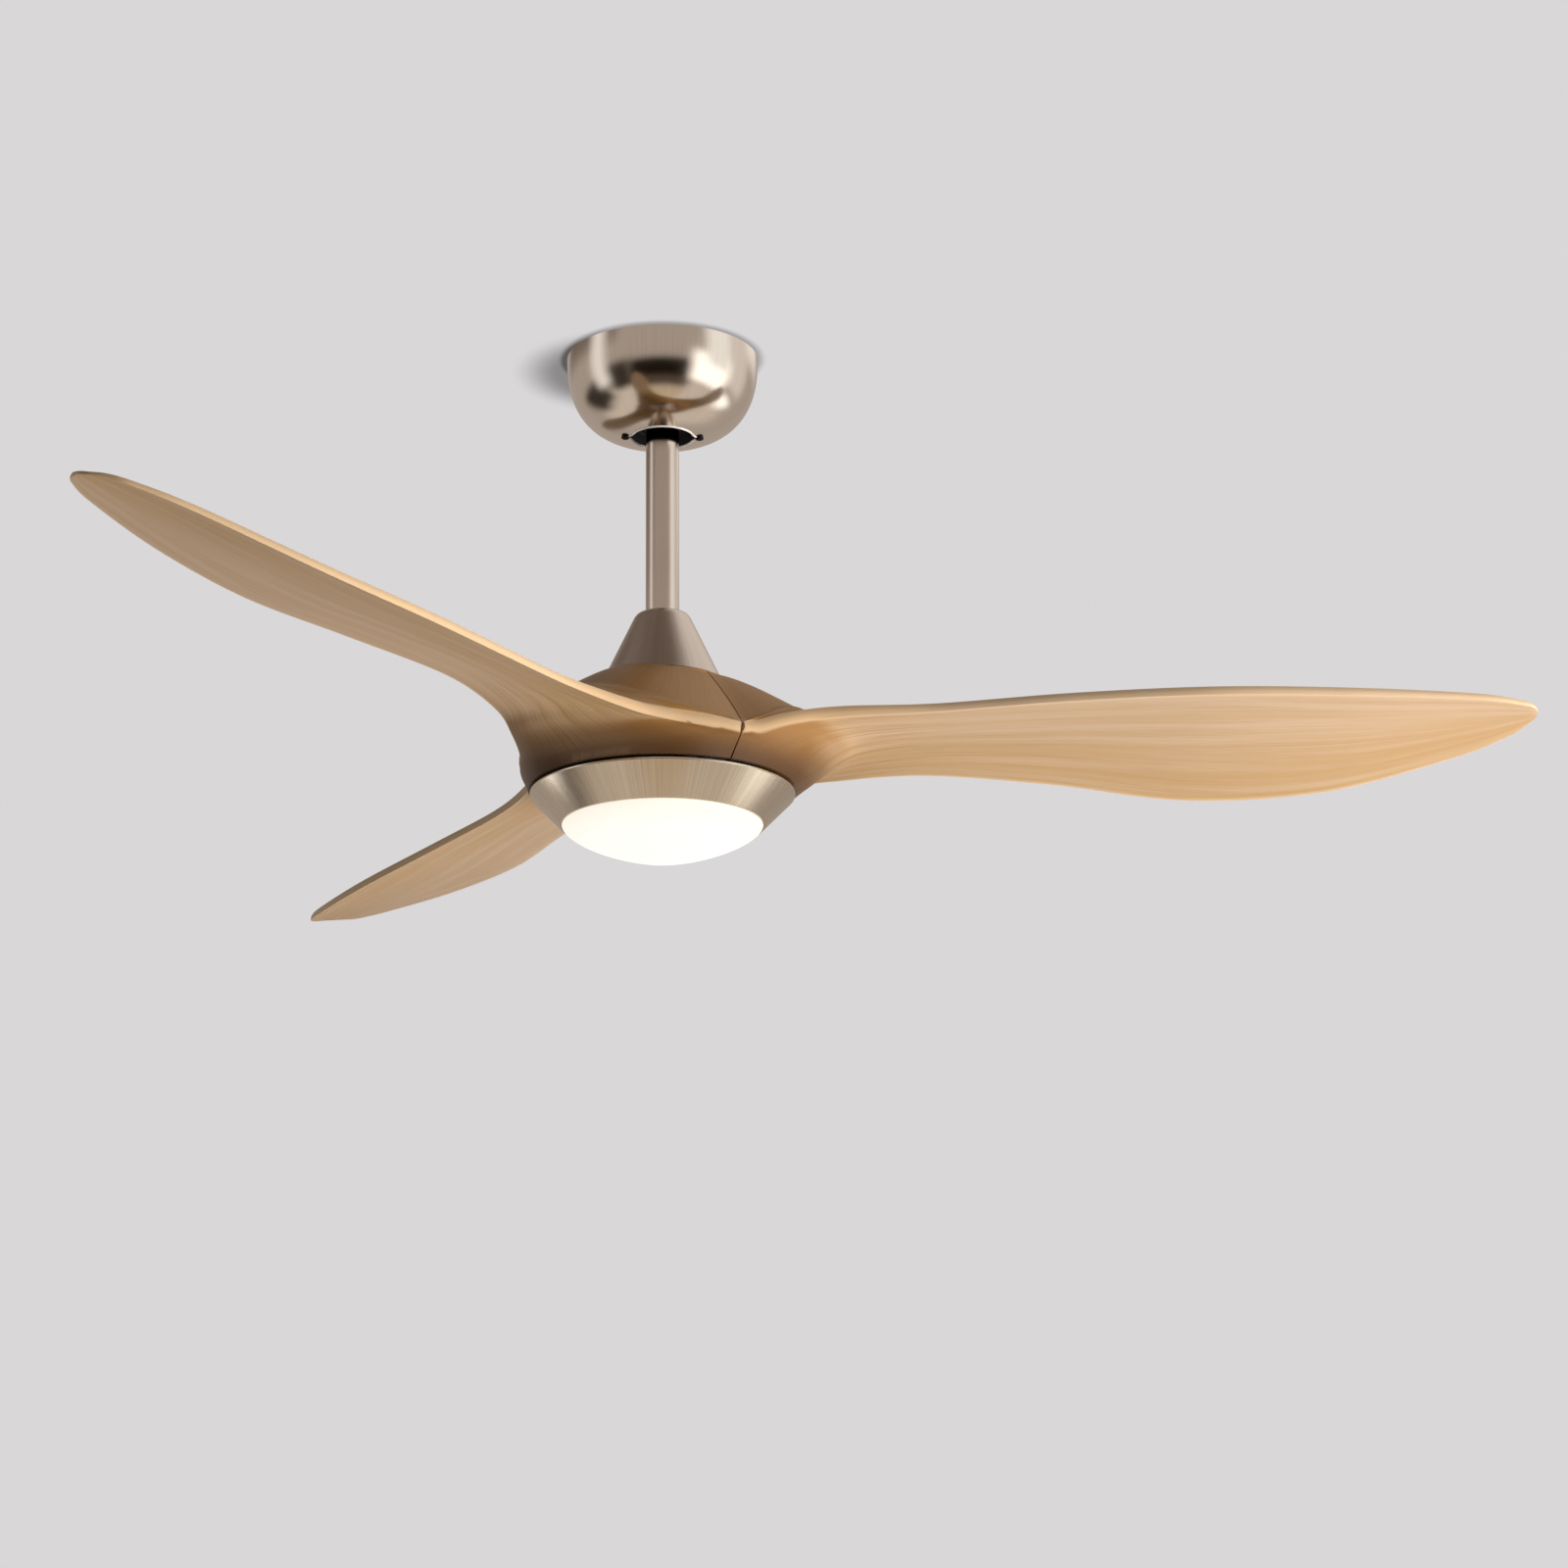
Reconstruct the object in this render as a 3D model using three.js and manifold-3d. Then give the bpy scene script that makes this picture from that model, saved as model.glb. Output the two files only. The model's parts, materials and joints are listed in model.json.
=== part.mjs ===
// Ceiling fan with a light: a 52 inch fan with moulded blades that meet in a seamless-looking hub.
// Millimetres, +Z up. The origin is where the fan's axis meets the ceiling, so everything hangs below z = 0.
import * as THREE from "three";
import { mergeVertices } from "three/addons/utils/BufferGeometryUtils.js";
import Module from "manifold-3d";

const wasm = await Module();
wasm.setup();

// Fits
const gap = 0.3; // between pieces that touch
const runningGap = 1.6; // between what turns and what stands still
const screwSlack = 0.35; // a hole's radius over its screw's
const pushFit = 0.25; // a bore's radius over a tube's or pin's
const swingRoom = 0.6; // round the rod where it enters the cover

// Ceiling end
const plate = { length: 104, width: 60, thickness: 2.5, slotLength: 16, slotWidth: 5.5, slotX: 22 };
const canopy = { radius: 75, depth: 65, wall: 1.2, hole: 24.1, ear: 2.6, roundness: 3.2, droop: 2.4 };
const canopyScrew = { x: canopy.hole + 4.9, radius: 1.9, head: 3.4, headHeight: 2, length: 12 };
const arm = { x: canopyScrew.x + 7, thickness: 2.5, width: 24, footThickness: 2.5, rise: 7 };
const groundScrew = { x: -45, radius: 2, head: 4, headHeight: 2.4, length: plate.thickness };
const rod = { radius: 13, wall: 1.6, length: 219, top: -27 };
const ball = { radius: 22, z: -41, pinZ: -33, pinRadius: 3, screwRadius: 2 };
const liner = { thickness: 1.5, low: 50, high: 80 };
const seat = { thickness: 2.9, low: 54, high: 78 };
const receiver = { length: 60, width: 26, height: 15, wall: 2, y: 28 };
const terminal = { length: 36, width: 14, height: 12, y: -22, pitch: 12, entry: 2.2 };

// Yoke under the rod, and the cone-shaped cover over them
const yoke = { radius: rod.radius + 6, above: 24, web: 23, pinZ: 12, pinRadius: 3, pinPast: 4, clip: 0.8 };
const cover = { topRadius: rod.radius + 8.8, baseRadius: 46.4, height: 55, wall: 1.6, shoulder: 2.8 };
const coverRise = 10.5; // how far the cover reaches above the yoke

// Motor
const shaft = { radius: 8.7, bore: 5.2 };
const bearing = { race: 3, outer: shaft.radius + 8.8, height: 8 };
const motor = { radius: 84, wall: 3, flangeWidth: 11.5, boss: 3.5, roof: 22, bearingRise: 38, sump: 9.2 };
const stator = { height: 13, tooth: 9.5, teeth: 9, hubRadius: 34 };
const magnet = { thickness: 4.2, height: 13, airGap: 0.3 };
const shaftNut = { radius: shaft.radius + 5.8, height: 5.5 };

// Hub and blades
const sweepRadius = 660.4;
const bladeCount = 3;
const hubSpread = 23; // how much wider the hub is than the motor in it
const hub = {
  topRadius: cover.baseRadius + 3.7,
  topInner: cover.baseRadius - 1.8,
  height: 57,
  edgeRadius: motor.radius + hubSpread,
  shoulderRadius: motor.radius + hubSpread + 2,
};
const hubEdge = 10; // height of the edge band at the seam
const hubSkirt = 18; // from the shoulder down to the rim over the light ring
const hubRim = { radius: hub.edgeRadius - 4.4, width: 4.1 };
const hubWall = 4.4;
const hubSlope = 0.18; // how fast the hub's inner wall leans in, for each millimetre of the hub's height
const seamTwist = 0.145; // degrees for each millimetre of height
// Over the hub each blade's rise is narrower than a half wave and leans to the back edge. Both
// fade out at this share of the blade's stations.
const crown = { cone: 0.65, power: 1.6, lean: 0.75, end: 0.36 };
const bladeFoot = { inner: motor.radius, thickness: 7.4, depth: 8 };
const bladeScrew = { radius: 2.4, head: 4.6, headHeight: 3.2, spread: 26 };

// Light kit
const lens = { radius: 76.6, sag: 29, wall: 2.5, collar: 75.6, collarHeight: 4.8 };
const lightRing = { topRadius: hubRim.radius - 1.3, bottomRadius: lens.radius + 1.6, height: 25.6, wall: 2 };
const ringLip = { inner: lens.collar + 0.4, flange: 2.4, bevel: 1.8 };
const mountPlate = { radius: lightRing.topRadius - 6.3, thickness: 2.8, rise: 1 };
const pan = { radius: lens.radius - 2.6, flange: lens.radius + 7.4, depth: 15.7, wall: 1.8 };
const lightScrew = { radius: 1.8, head: 3.6, headHeight: 2.2, length: 6.5, count: 3, turn: 30 };
const driver = { length: 54, width: 30, height: 9, y: 38 };
const board = { radius: pan.radius - 8, thickness: 1.6 };
const lug = { reach: lens.collar + 1.3, height: 2, width: 11, turn: 20, count: 3 };

// Facets round a full turn
const fine = 32;
const medium = 24;
const coarse = 16;
const small = 10;

// Heights that follow from the sizes above
const rodBottom = rod.top - rod.length;
const yokeTop = rodBottom + yoke.above;
const yokeBottom = rodBottom - yoke.web;
const coverTop = yokeTop + coverRise;
const coverBottom = coverTop - cover.height;
const hubTop = coverBottom - runningGap;
const edgeZ = hubTop - hub.height;
const shoulderZ = edgeZ - hubEdge;
const rimZ = shoulderZ - hubSkirt;
const ringTop = rimZ - runningGap;
const ringBottom = ringTop - lightRing.height;

// Colours
const nickel = new THREE.Color(0.72, 0.68, 0.62);
const steel = new THREE.Color(0.6, 0.6, 0.6);
const oak = new THREE.Color(0.72, 0.52, 0.3);
const dark = new THREE.Color(0.05, 0.05, 0.05);
const look = (color, roughness, metalness) => ({ color, roughness, metalness });
const looks = {
  nickel: look(nickel, 0.3, 1),
  steel: look(steel, 0.45, 1),
  oak: look(oak, 0.45, 0),
  rubber: look(dark, 0.9, 0),
  dark: look(dark, 0.5, 0.2),
  plastic: look(new THREE.Color(0.85, 0.85, 0.82), 0.5, 0),
  copper: look(new THREE.Color(0.75, 0.36, 0.16), 0.35, 1),
  brass: look(new THREE.Color(0.75, 0.58, 0.25), 0.35, 1),
  opal: look(new THREE.Color(1, 0.96, 0.88), 0.35, 0),
};

const fan = new THREE.Group();
const degrees = THREE.MathUtils.degToRad;

function place(name, geometry, finish) {
  const mesh = new THREE.Mesh(geometry, new THREE.MeshStandardMaterial(looks[finish]));
  mesh.name = name;
  fan.add(mesh);
  return mesh;
}

// A solid of revolution about Z. The outline is a closed list of [radius, z], in either direction.
function turned(outline, segments = fine) {
  const area = outline.reduce((sum, [r, z], i) => {
    const [nextR, nextZ] = outline[(i + 1) % outline.length];
    return sum + r * nextZ - nextR * z;
  }, 0);
  const ordered = area > 0 ? outline : [...outline].reverse();
  const onAxis = ordered.findIndex(([r], i) => {
    const before = ordered[(i + ordered.length - 1) % ordered.length];
    return r === 0 && before[0] === 0;
  });
  const start = Math.max(onAxis, 0);
  const points = [...ordered.slice(start), ...ordered.slice(0, start)];
  if (onAxis < 0) points.push(points[0]);
  const profile = points.map(([r, z]) => new THREE.Vector2(r, z));
  return new THREE.LatheGeometry(profile, segments).rotateX(Math.PI / 2);
}

const sleeve = (inner, outer, low, high, segments = coarse) =>
  turned([[inner, low], [outer, low], [outer, high], [inner, high]], segments);

const disc = (radius, low, high, segments = coarse) =>
  turned([[0, low], [radius, low], [radius, high], [0, high]], segments);

const block = (x, y, z, cx, cy, cz) => new THREE.BoxGeometry(x, y, z).translate(cx, cy, cz);

// A pin or hole along X or Y, centred on a point.
function bar(radius, length, axis, x, y, z, segments = small) {
  const along = new THREE.CylinderGeometry(radius, radius, length, segments);
  return (axis === "x" ? along.rotateZ(Math.PI / 2) : along).translate(x, y, z);
}

function toSolid(geometry) {
  const plain = geometry.clone();
  plain.deleteAttribute("normal");
  plain.deleteAttribute("uv");
  const merged = mergeVertices(plain, 1e-3);
  const triVerts = new Uint32Array(merged.index.array);
  return new wasm.Manifold(
    new wasm.Mesh({ numProp: 3, vertProperties: merged.attributes.position.array, triVerts }),
  );
}

function toGeometry(solid) {
  const { vertProperties, triVerts } = solid.getMesh();
  return new THREE.BufferGeometry()
    .setAttribute("position", new THREE.BufferAttribute(vertProperties, 3))
    .setIndex(new THREE.BufferAttribute(triVerts, 1));
}

const cut = (geometry, ...tools) =>
  toGeometry(tools.reduce((left, tool) => left.subtract(toSolid(tool)), toSolid(geometry)));

const join = (geometry, ...others) =>
  toGeometry(others.reduce((whole, other) => whole.add(toSolid(other)), toSolid(geometry)));

// Copies of a geometry turned evenly about Z.
const around = (geometry, count, first = 0) =>
  Array.from({ length: count }, (_, i) =>
    geometry.clone().rotateZ(degrees(first) + (i * 2 * Math.PI) / count),
  );

// A point on the ball's concentric spheres: the angle is counted from straight down.
function onBall(radius, angle) {
  return [radius * Math.sin(degrees(angle)), ball.z - radius * Math.cos(degrees(angle))];
}

function ballBand(inner, outer, low, high, steps = 3) {
  const at = (radius) => (_, i) => onBall(radius, low + ((high - low) * i) / steps);
  const outside = Array.from({ length: steps + 1 }, at(outer));
  const inside = Array.from({ length: steps + 1 }, at(inner));
  return [...outside, ...inside.reverse()];
}

// Ceiling bracket: a slotted plate, two arms and a dished seat for the ball.
function hangerBracket() {
  const armBottom = arm.rise - canopy.depth;
  const seatRadius = ball.radius + 2 * gap + liner.thickness;
  // each arm's foot ends inside the wall of the seat
  const footInner = Math.sqrt(
    (seatRadius + seat.thickness / 2) ** 2 - (armBottom + arm.footThickness - ball.z) ** 2,
  );
  const footLength = arm.x + arm.thickness - footInner;
  const pieces = [];
  for (const side of [-1, 1]) {
    const footX = side * (footInner + footLength / 2);
    pieces.push(
      block(arm.thickness, arm.width, -armBottom, side * (arm.x + arm.thickness / 2), 0, armBottom / 2),
      block(footLength, arm.width, arm.footThickness, footX, 0, armBottom + arm.footThickness / 2),
    );
  }
  pieces.push(turned(ballBand(seatRadius, seatRadius + seat.thickness, seat.low, seat.high), medium));
  const top = block(plate.length, plate.width, plate.thickness, 0, 0, -plate.thickness / 2);
  const holes = [];
  for (const side of [-1, 1]) {
    const slot = block(plate.slotLength, plate.slotWidth, 3 * plate.thickness, side * plate.slotX, 0, 0);
    const screwHole = disc(canopyScrew.radius + screwSlack, armBottom - 1, armBottom + 6, small);
    holes.push(slot, screwHole.translate(side * canopyScrew.x, 0, 0));
  }
  const earth = disc(groundScrew.radius + screwSlack, -2 * plate.thickness, plate.thickness, small);
  holes.push(earth.translate(groundScrew.x, 0, 0));
  return cut(join(top, ...pieces), ...holes);
}

// The canopy's outline at a share of its depth: upright at the ceiling, rounding under to the hole.
function canopyRadius(share, radius) {
  return radius * (1 - share ** canopy.droop) ** (1 / canopy.roundness);
}

function canopyShell() {
  const shareAtHole = (radius) =>
    (1 - (canopy.hole / radius) ** canopy.roundness) ** (1 / canopy.droop);
  const line = (radius, depth) => {
    const end = shareAtHole(radius);
    return Array.from({ length: 9 }, (_, i) => {
      const share = end * (1 - (1 - i / 8) ** 1.9);
      return [canopyRadius(share, radius), -gap - (depth - gap) * share];
    });
  };
  const outside = line(canopy.radius, canopy.depth);
  const inside = line(canopy.radius - canopy.wall, canopy.depth - canopy.wall);
  const shell = turned([...outside, ...inside.reverse()]);
  const through = (radius, x) =>
    disc(radius, -canopy.depth - 5, -canopy.depth + 9, small).translate(x, 0, 0);
  const holes = [-1, 1].flatMap((side) => [
    through(canopy.ear, side * canopy.hole),
    through(canopyScrew.radius + screwSlack, side * canopyScrew.x),
  ]);
  return cut(shell, ...holes);
}

// A screw with a pan head, standing on its head at z = 0 with its shank pointing up.
const screw = ({ radius, head, headHeight, length }) =>
  turned(
    [
      [0, -headHeight],
      [head * 0.8, -headHeight],
      [head, -headHeight * 0.5],
      [head, 0],
      [radius, 0],
      [radius, length],
      [0, length],
    ],
    small,
  );

function ceilingEnd() {
  place("hanger_bracket", hangerBracket(), "steel");
  place("canopy", canopyShell(), "nickel");
  const seatZ = 1 - canopy.depth - gap;
  for (const [name, side] of [["canopy_screw_left", -1], ["canopy_screw_right", 1]])
    place(name, screw(canopyScrew).translate(side * canopyScrew.x, 0, seatZ), "dark");
  const earth = screw(groundScrew).translate(groundScrew.x, 0, -plate.thickness - gap);
  place("ground_screw", earth, "brass");
  const { length, width, height, wall, y } = receiver;
  const top = -plate.thickness - gap;
  const shell = block(length, width, height - wall - gap, 0, y, top - (height - wall - gap) / 2);
  const hollow = block(length - 2 * wall, width - 2 * wall, height, 0, y, top - wall - height / 2);
  place("receiver_case", cut(shell, hollow), "dark");
  place("receiver_lid", block(length, width, wall, 0, y, top - height + wall / 2), "dark");
  const middle = top - terminal.height / 2;
  const housing = block(terminal.length, terminal.width, terminal.height, 0, terminal.y, middle);
  const entries = [-terminal.pitch, 0, terminal.pitch].map((x) =>
    bar(terminal.entry, 10, "y", x, terminal.y - terminal.width / 2, middle, 6),
  );
  place("terminal_block", cut(housing, ...entries), "plastic");
}

function ballJoint() {
  const linerInner = ball.radius + gap;
  const linerBand = ballBand(linerInner, linerInner + liner.thickness, liner.low, liner.high);
  place("seat_liner", turned(linerBand, medium), "rubber");
  const flat = rod.radius + 2;
  const flatAngle = THREE.MathUtils.radToDeg(Math.asin(flat / ball.radius));
  const steps = 6;
  const round = Array.from({ length: steps + 1 }, (_, i) =>
    onBall(ball.radius, flatAngle + ((180 - 2 * flatAngle) * i) / steps),
  );
  const bore = rod.radius + pushFit;
  const body = turned([[bore, round[0][1]], ...round, [bore, round[steps][1]]], medium);
  const pinHole = bar(ball.pinRadius + pushFit, 4 * ball.radius, "y", 0, 0, ball.pinZ);
  const screwHole = bar(ball.screwRadius + gap, ball.radius, "x", ball.radius, 0, ball.z);
  place("hanger_ball", cut(body, pinHole, screwHole), "dark");
  const pinLength = 2 * ball.radius - 9;
  place("ball_pin", bar(ball.pinRadius, pinLength, "y", 0, 0, ball.pinZ), "steel");
  const screwLength = ball.radius - rod.radius - 3;
  const screwX = rod.radius + gap + screwLength / 2;
  place("ball_set_screw", bar(ball.screwRadius, screwLength, "x", screwX, 0, ball.z), "steel");
}

function rodAndYoke() {
  const pinZ = rodBottom + yoke.pinZ;
  const tube = sleeve(rod.radius - rod.wall, rod.radius, rodBottom, rod.top, medium);
  const ballPinHole = bar(ball.pinRadius + pushFit, 4 * rod.radius, "y", 0, 0, ball.pinZ);
  const clevisHole = bar(yoke.pinRadius + pushFit, 4 * yoke.radius, "x", 0, 0, pinZ);
  place("downrod", cut(tube, ballPinHole, clevisHole), "nickel");
  const socket = rod.radius + pushFit;
  const shaftHole = shaft.radius + pushFit;
  const body = turned([
    [shaftHole, yokeBottom],
    [yoke.radius, yokeBottom],
    [yoke.radius, yokeTop],
    [socket, yokeTop],
    [socket, rodBottom - gap],
    [shaftHole, rodBottom - gap],
  ], medium);
  const setZ = (yokeBottom + rodBottom) / 2 - 0.5;
  const setRadius = 2.3;
  const setLength = yoke.radius - shaftHole - 1;
  const setHole = bar(setRadius + gap, 2 * (yoke.radius - shaftHole) + 1, "y", 0, -yoke.radius, setZ);
  place("motor_yoke", cut(body, clevisHole.clone(), setHole), "steel");
  const setY = -shaftHole - gap - setLength / 2;
  place("yoke_set_screw", bar(setRadius, setLength, "y", 0, setY, setZ), "dark");
  // the pin has its clip's hole at one end, where it reaches past the yoke
  const clipX = yoke.radius + 2;
  const pinLength = 2 * (yoke.radius + yoke.pinPast);
  const pinEnd = bar(yoke.clip + 0.7, 12, "y", clipX, 0, pinZ);
  const pin = bar(yoke.pinRadius, pinLength, "x", yoke.clip, 0, pinZ);
  place("clevis_pin", cut(pin, pinEnd), "steel");
  const route = new THREE.CatmullRomCurve3(
    [[-7, 0], [0, 0], [7, 0.3], [9.5, 2.2], [8, 4.6], [3.5, 4.2], [-2, 5.2], [-7, 4.4]].map(
      ([y, z]) => new THREE.Vector3(clipX, y, pinZ + z),
    ),
  );
  const wire = new THREE.Shape().absarc(0, 0, yoke.clip, 0, 2 * Math.PI, false);
  const clip = new THREE.ExtrudeGeometry(wire, { steps: 16, curveSegments: 3, extrudePath: route });
  place("hairpin_clip", clip, "steel");
}

function couplingCover() {
  const { topRadius, baseRadius, wall, shoulder } = cover;
  const opening = rod.radius + swingRoom;
  place("coupling_cover", turned([
    [opening, coverTop],
    [topRadius - shoulder, coverTop],
    [topRadius - shoulder * 0.3, coverTop - shoulder * 0.3],
    [topRadius, coverTop - shoulder],
    [baseRadius, coverBottom],
    [baseRadius - wall, coverBottom],
    [topRadius - wall, coverTop - shoulder - wall],
    [opening, coverTop - wall],
  ]), "nickel");
}

// Seam between two blade roots: straight down the hub in plan, turning slightly with height.
function seamAngle(z) {
  return degrees(-180 / bladeCount + seamTwist * (z - shoulderZ));
}

// The edges of a blade from the hub to the tip: [share of the sweep, across, height over the shoulder].
const backEdge = [
  [0.2, -71, 21.5],
  [0.31, -69.5, 27],
  [0.46, -90, 30],
  [0.62, -108.5, 30.5],
  [0.78, -107.5, 31.5],
  [0.92, -95.5, 33],
  [0.978, -85, 32.5],
  [0.994, -78, 32],
];
const frontEdge = [
  [0.2, 45, 4],
  [0.31, 30, 5.5],
  [0.46, 32.5, 0],
  [0.62, 41, -9],
  [0.78, 25, -5.5],
  [0.92, -12, 12],
  [0.978, -36, 22],
  [0.994, -47, 26],
];
// Along the blade from the seam to the tip: edge thickness, how far the middle of the top and of the
// underside stand over their edges, and how far a row bows out from the hub.
const bladeThickness = [10, 9.5, 9, 8.5, 6.5, 6.5, 6.5, 6, 5, 4, 3.5];
const topLift = [30, 24, 13, 6, 3.5, 2.5, 2.5, 2.5, 2, 1, 0.3];
const underLift = [-13.5, -9.5, -3.8, 0.5, 2, 3, 3, 3, 2, 1, 0.3];
const rowBow = [0, 9, 16, 14, 6, 1, 0, 0, 0, 0, 0];

const edgeCurve = (start, stations) =>
  new THREE.CatmullRomCurve3([
    ...start.map(([u, v, z]) => new THREE.Vector3(u, v, z)),
    ...stations.map(([share, v, rise]) => new THREE.Vector3(share * sweepRadius, v, shoulderZ + rise)),
  ]);

const polar = (r, angle, z) => [r * Math.cos(angle), r * Math.sin(angle), z];

// A row of points that swings about the fan's axis from one edge point to the other. root is 1 at
// the hub and 0 out on the blade.
function arcRow(from, to, columns, lift = 0, bulge = 0, root = 0) {
  const [r0, r1] = [from, to].map(([u, v]) => Math.hypot(u, v));
  const [a0, a1] = [from, to].map(([u, v]) => Math.atan2(v, u));
  const mix = THREE.MathUtils.lerp;
  return Array.from({ length: columns + 1 }, (_, i) => {
    const t = i / columns;
    const hump = Math.sin(Math.PI * t);
    const wave = Math.max(Math.sin(Math.PI * t ** mix(1, crown.lean, root)), 0);
    const z = mix(from[2], to[2], t) + lift * wave ** mix(1, crown.power, root);
    return polar(mix(r0, r1, t) + bulge * hump, mix(a0, a1, t), z);
  });
}

function bladeGeometry() {
  const columns = 8;
  const steps = 16;
  const split = gap / 2;
  const seam = (r, z, side) => {
    const angle = seamAngle(z) + (side > 0 ? (2 * Math.PI) / bladeCount : 0);
    return polar(r, angle - (side * split) / r, z);
  };
  const seamRow = ([r, z], lift) =>
    arcRow(seam(r, z, -1), seam(r, z, 1), columns, lift, 0, 1);

  // Hub outline at the seam: down the outside of the cone, then back up the inside.
  const topCount = 4;
  const cone = Array.from({ length: topCount + 1 }, (_, i) => {
    const share = i / topCount;
    return [hub.topRadius + (hub.edgeRadius - hub.topRadius) * share, hubTop - hub.height * share];
  });
  const rimInner = hubRim.radius - hubRim.width;
  const footTop = rimZ + bladeFoot.depth + bladeFoot.thickness;
  const footBottom = rimZ + bladeFoot.depth;
  const wallR = hub.edgeRadius - hub.height * hubSlope;
  const inside = [
    [rimInner, rimZ],
    [rimInner, footBottom],
    [bladeFoot.inner, footBottom],
    [bladeFoot.inner, footTop],
    [wallR, footTop],
    [wallR, edgeZ + 2],
    [wallR - 4, edgeZ + 9],
    [hub.topInner, hubTop - hubWall],
    [hub.topInner, hubTop],
  ];
  const shoulder = [hub.shoulderRadius, shoulderZ];
  const rim = [hubRim.radius, rimZ];
  const seamOutline = [...cone, shoulder, rim, ...inside];

  // Edges beyond the seam
  const back = seam(...shoulder, -1);
  const front = seam(...shoulder, 1);
  const offset = ([u, v, z], du, dv, dz) => [u + du, v + dv, z + dz];
  const backCurve = edgeCurve([back, offset(back, 12, 7.2, 4), offset(back, 36, 14, 13)], backEdge);
  const frontStart = [front, offset(front, 18.5, -13, 2), offset(front, 45.5, -34, 3.5)];
  const frontCurve = edgeCurve(frontStart, frontEdge);
  const along = (list, t) => {
    const spot = t * (list.length - 1);
    const i = Math.min(Math.floor(spot), list.length - 2);
    return THREE.MathUtils.lerp(list[i], list[i + 1], spot - i);
  };
  const stations = Array.from({ length: steps + 1 }, (_, k) => {
    const t = k / steps;
    const thickness = along(bladeThickness, t);
    const edge = (curve, inward, side) => {
      const { x, y, z } = curve.getPoint(t);
      const low = [x, y, z];
      return { low, high: k ? [x, y + inward, z + thickness] : seam(...cone[topCount], side) };
    };
    return { t, back: edge(backCurve, 0.8, -1), front: edge(frontCurve, -0.8, 1) };
  });
  const rootAt = (t) => Math.max(0, 1 - t / crown.end);
  const row = ({ t, back, front }, level, lift) =>
    arcRow(back[level], front[level], columns, along(lift, t), along(rowBow, t), rootAt(t));
  const topRows = [
    seamRow([hub.topInner, hubTop]),
    ...cone.slice(0, topCount).map((p, i) => seamRow(p, topLift[0] * (i / topCount) ** crown.cone)),
    ...stations.map((station) => row(station, "high", topLift)),
  ];
  const underRows = [
    ...inside.slice(0, -1).reverse().map((p) => seamRow(p)),
    seamRow(rim),
    ...stations.map((station) => row(station, "low", underLift)),
  ];

  const positions = [];
  const face = (a, b, c) => positions.push(...a, ...b, ...c);
  const quad = (a, b, c, d) => {
    face(a, b, c);
    face(a, c, d);
  };
  const patch = (rows, up) => {
    for (let j = 0; j + 1 < rows.length; j++)
      for (let i = 0; i < columns; i++) {
        const ring = [rows[j][i], rows[j + 1][i], rows[j + 1][i + 1], rows[j][i + 1]];
        quad(...(up ? ring : ring.reverse()));
      }
  };
  patch(topRows, true);
  patch(underRows, false);
  // The inner end of the top row closes down onto the inside of the hub.
  patch([underRows[0], topRows[0]], true);
  for (let k = 0; k < steps; k++) {
    const [a, b] = [stations[k], stations[k + 1]];
    quad(a.back.low, b.back.low, b.back.high, a.back.high);
    quad(a.front.high, b.front.high, b.front.low, a.front.low);
  }
  // Seam faces: the hub outline filled once and used on both sides.
  const outline = seamOutline.map(([r, z]) => new THREE.Vector2(r, z));
  for (const [a, b, c] of THREE.ShapeUtils.triangulateShape(outline, [])) {
    const corner = (side) => [a, b, c].map((i) => seam(...seamOutline[i], side));
    const flip = THREE.ShapeUtils.isClockWise(outline);
    face(...(flip ? corner(-1) : corner(-1).reverse()));
    face(...(flip ? corner(1).reverse() : corner(1)));
  }
  const endTop = topRows.at(-1);
  const endLow = underRows.at(-1);
  for (let i = 0; i < columns; i++) quad(endLow[i], endLow[i + 1], endTop[i + 1], endTop[i]);
  const geometry = new THREE.BufferGeometry();
  geometry.setAttribute("position", new THREE.Float32BufferAttribute(positions, 3));
  return mergeVertices(geometry, 1e-3);
}

function blades() {
  const whole = bladeGeometry();
  const holeZ = rimZ + bladeFoot.depth;
  const r = (bladeFoot.inner + hubRim.radius - hubRim.width) / 2;
  const angles = [-bladeScrew.spread, bladeScrew.spread];
  const spot = (angle) => polar(r, degrees(angle), 0);
  const holes = angles.map((angle) => {
    const hole = disc(bladeScrew.radius + screwSlack, holeZ - 2, holeZ + bladeFoot.thickness + 2, small);
    return hole.translate(...spot(angle));
  });
  const drilled = cut(whole, ...holes);
  const shank = { ...bladeScrew, length: bladeFoot.thickness + 6 };
  for (let i = 0; i < bladeCount; i++) {
    const turn = (i * 2 * Math.PI) / bladeCount;
    place("blade_" + (i + 1), drilled.clone().rotateZ(turn), "oak");
    angles.forEach((angle, j) => {
      const fixing = screw(shank).translate(...spot(angle)).translate(0, 0, holeZ - gap);
      place("blade_screw_" + (2 * i + j + 1), fixing.rotateZ(turn), "steel");
    });
  }
}

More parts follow.
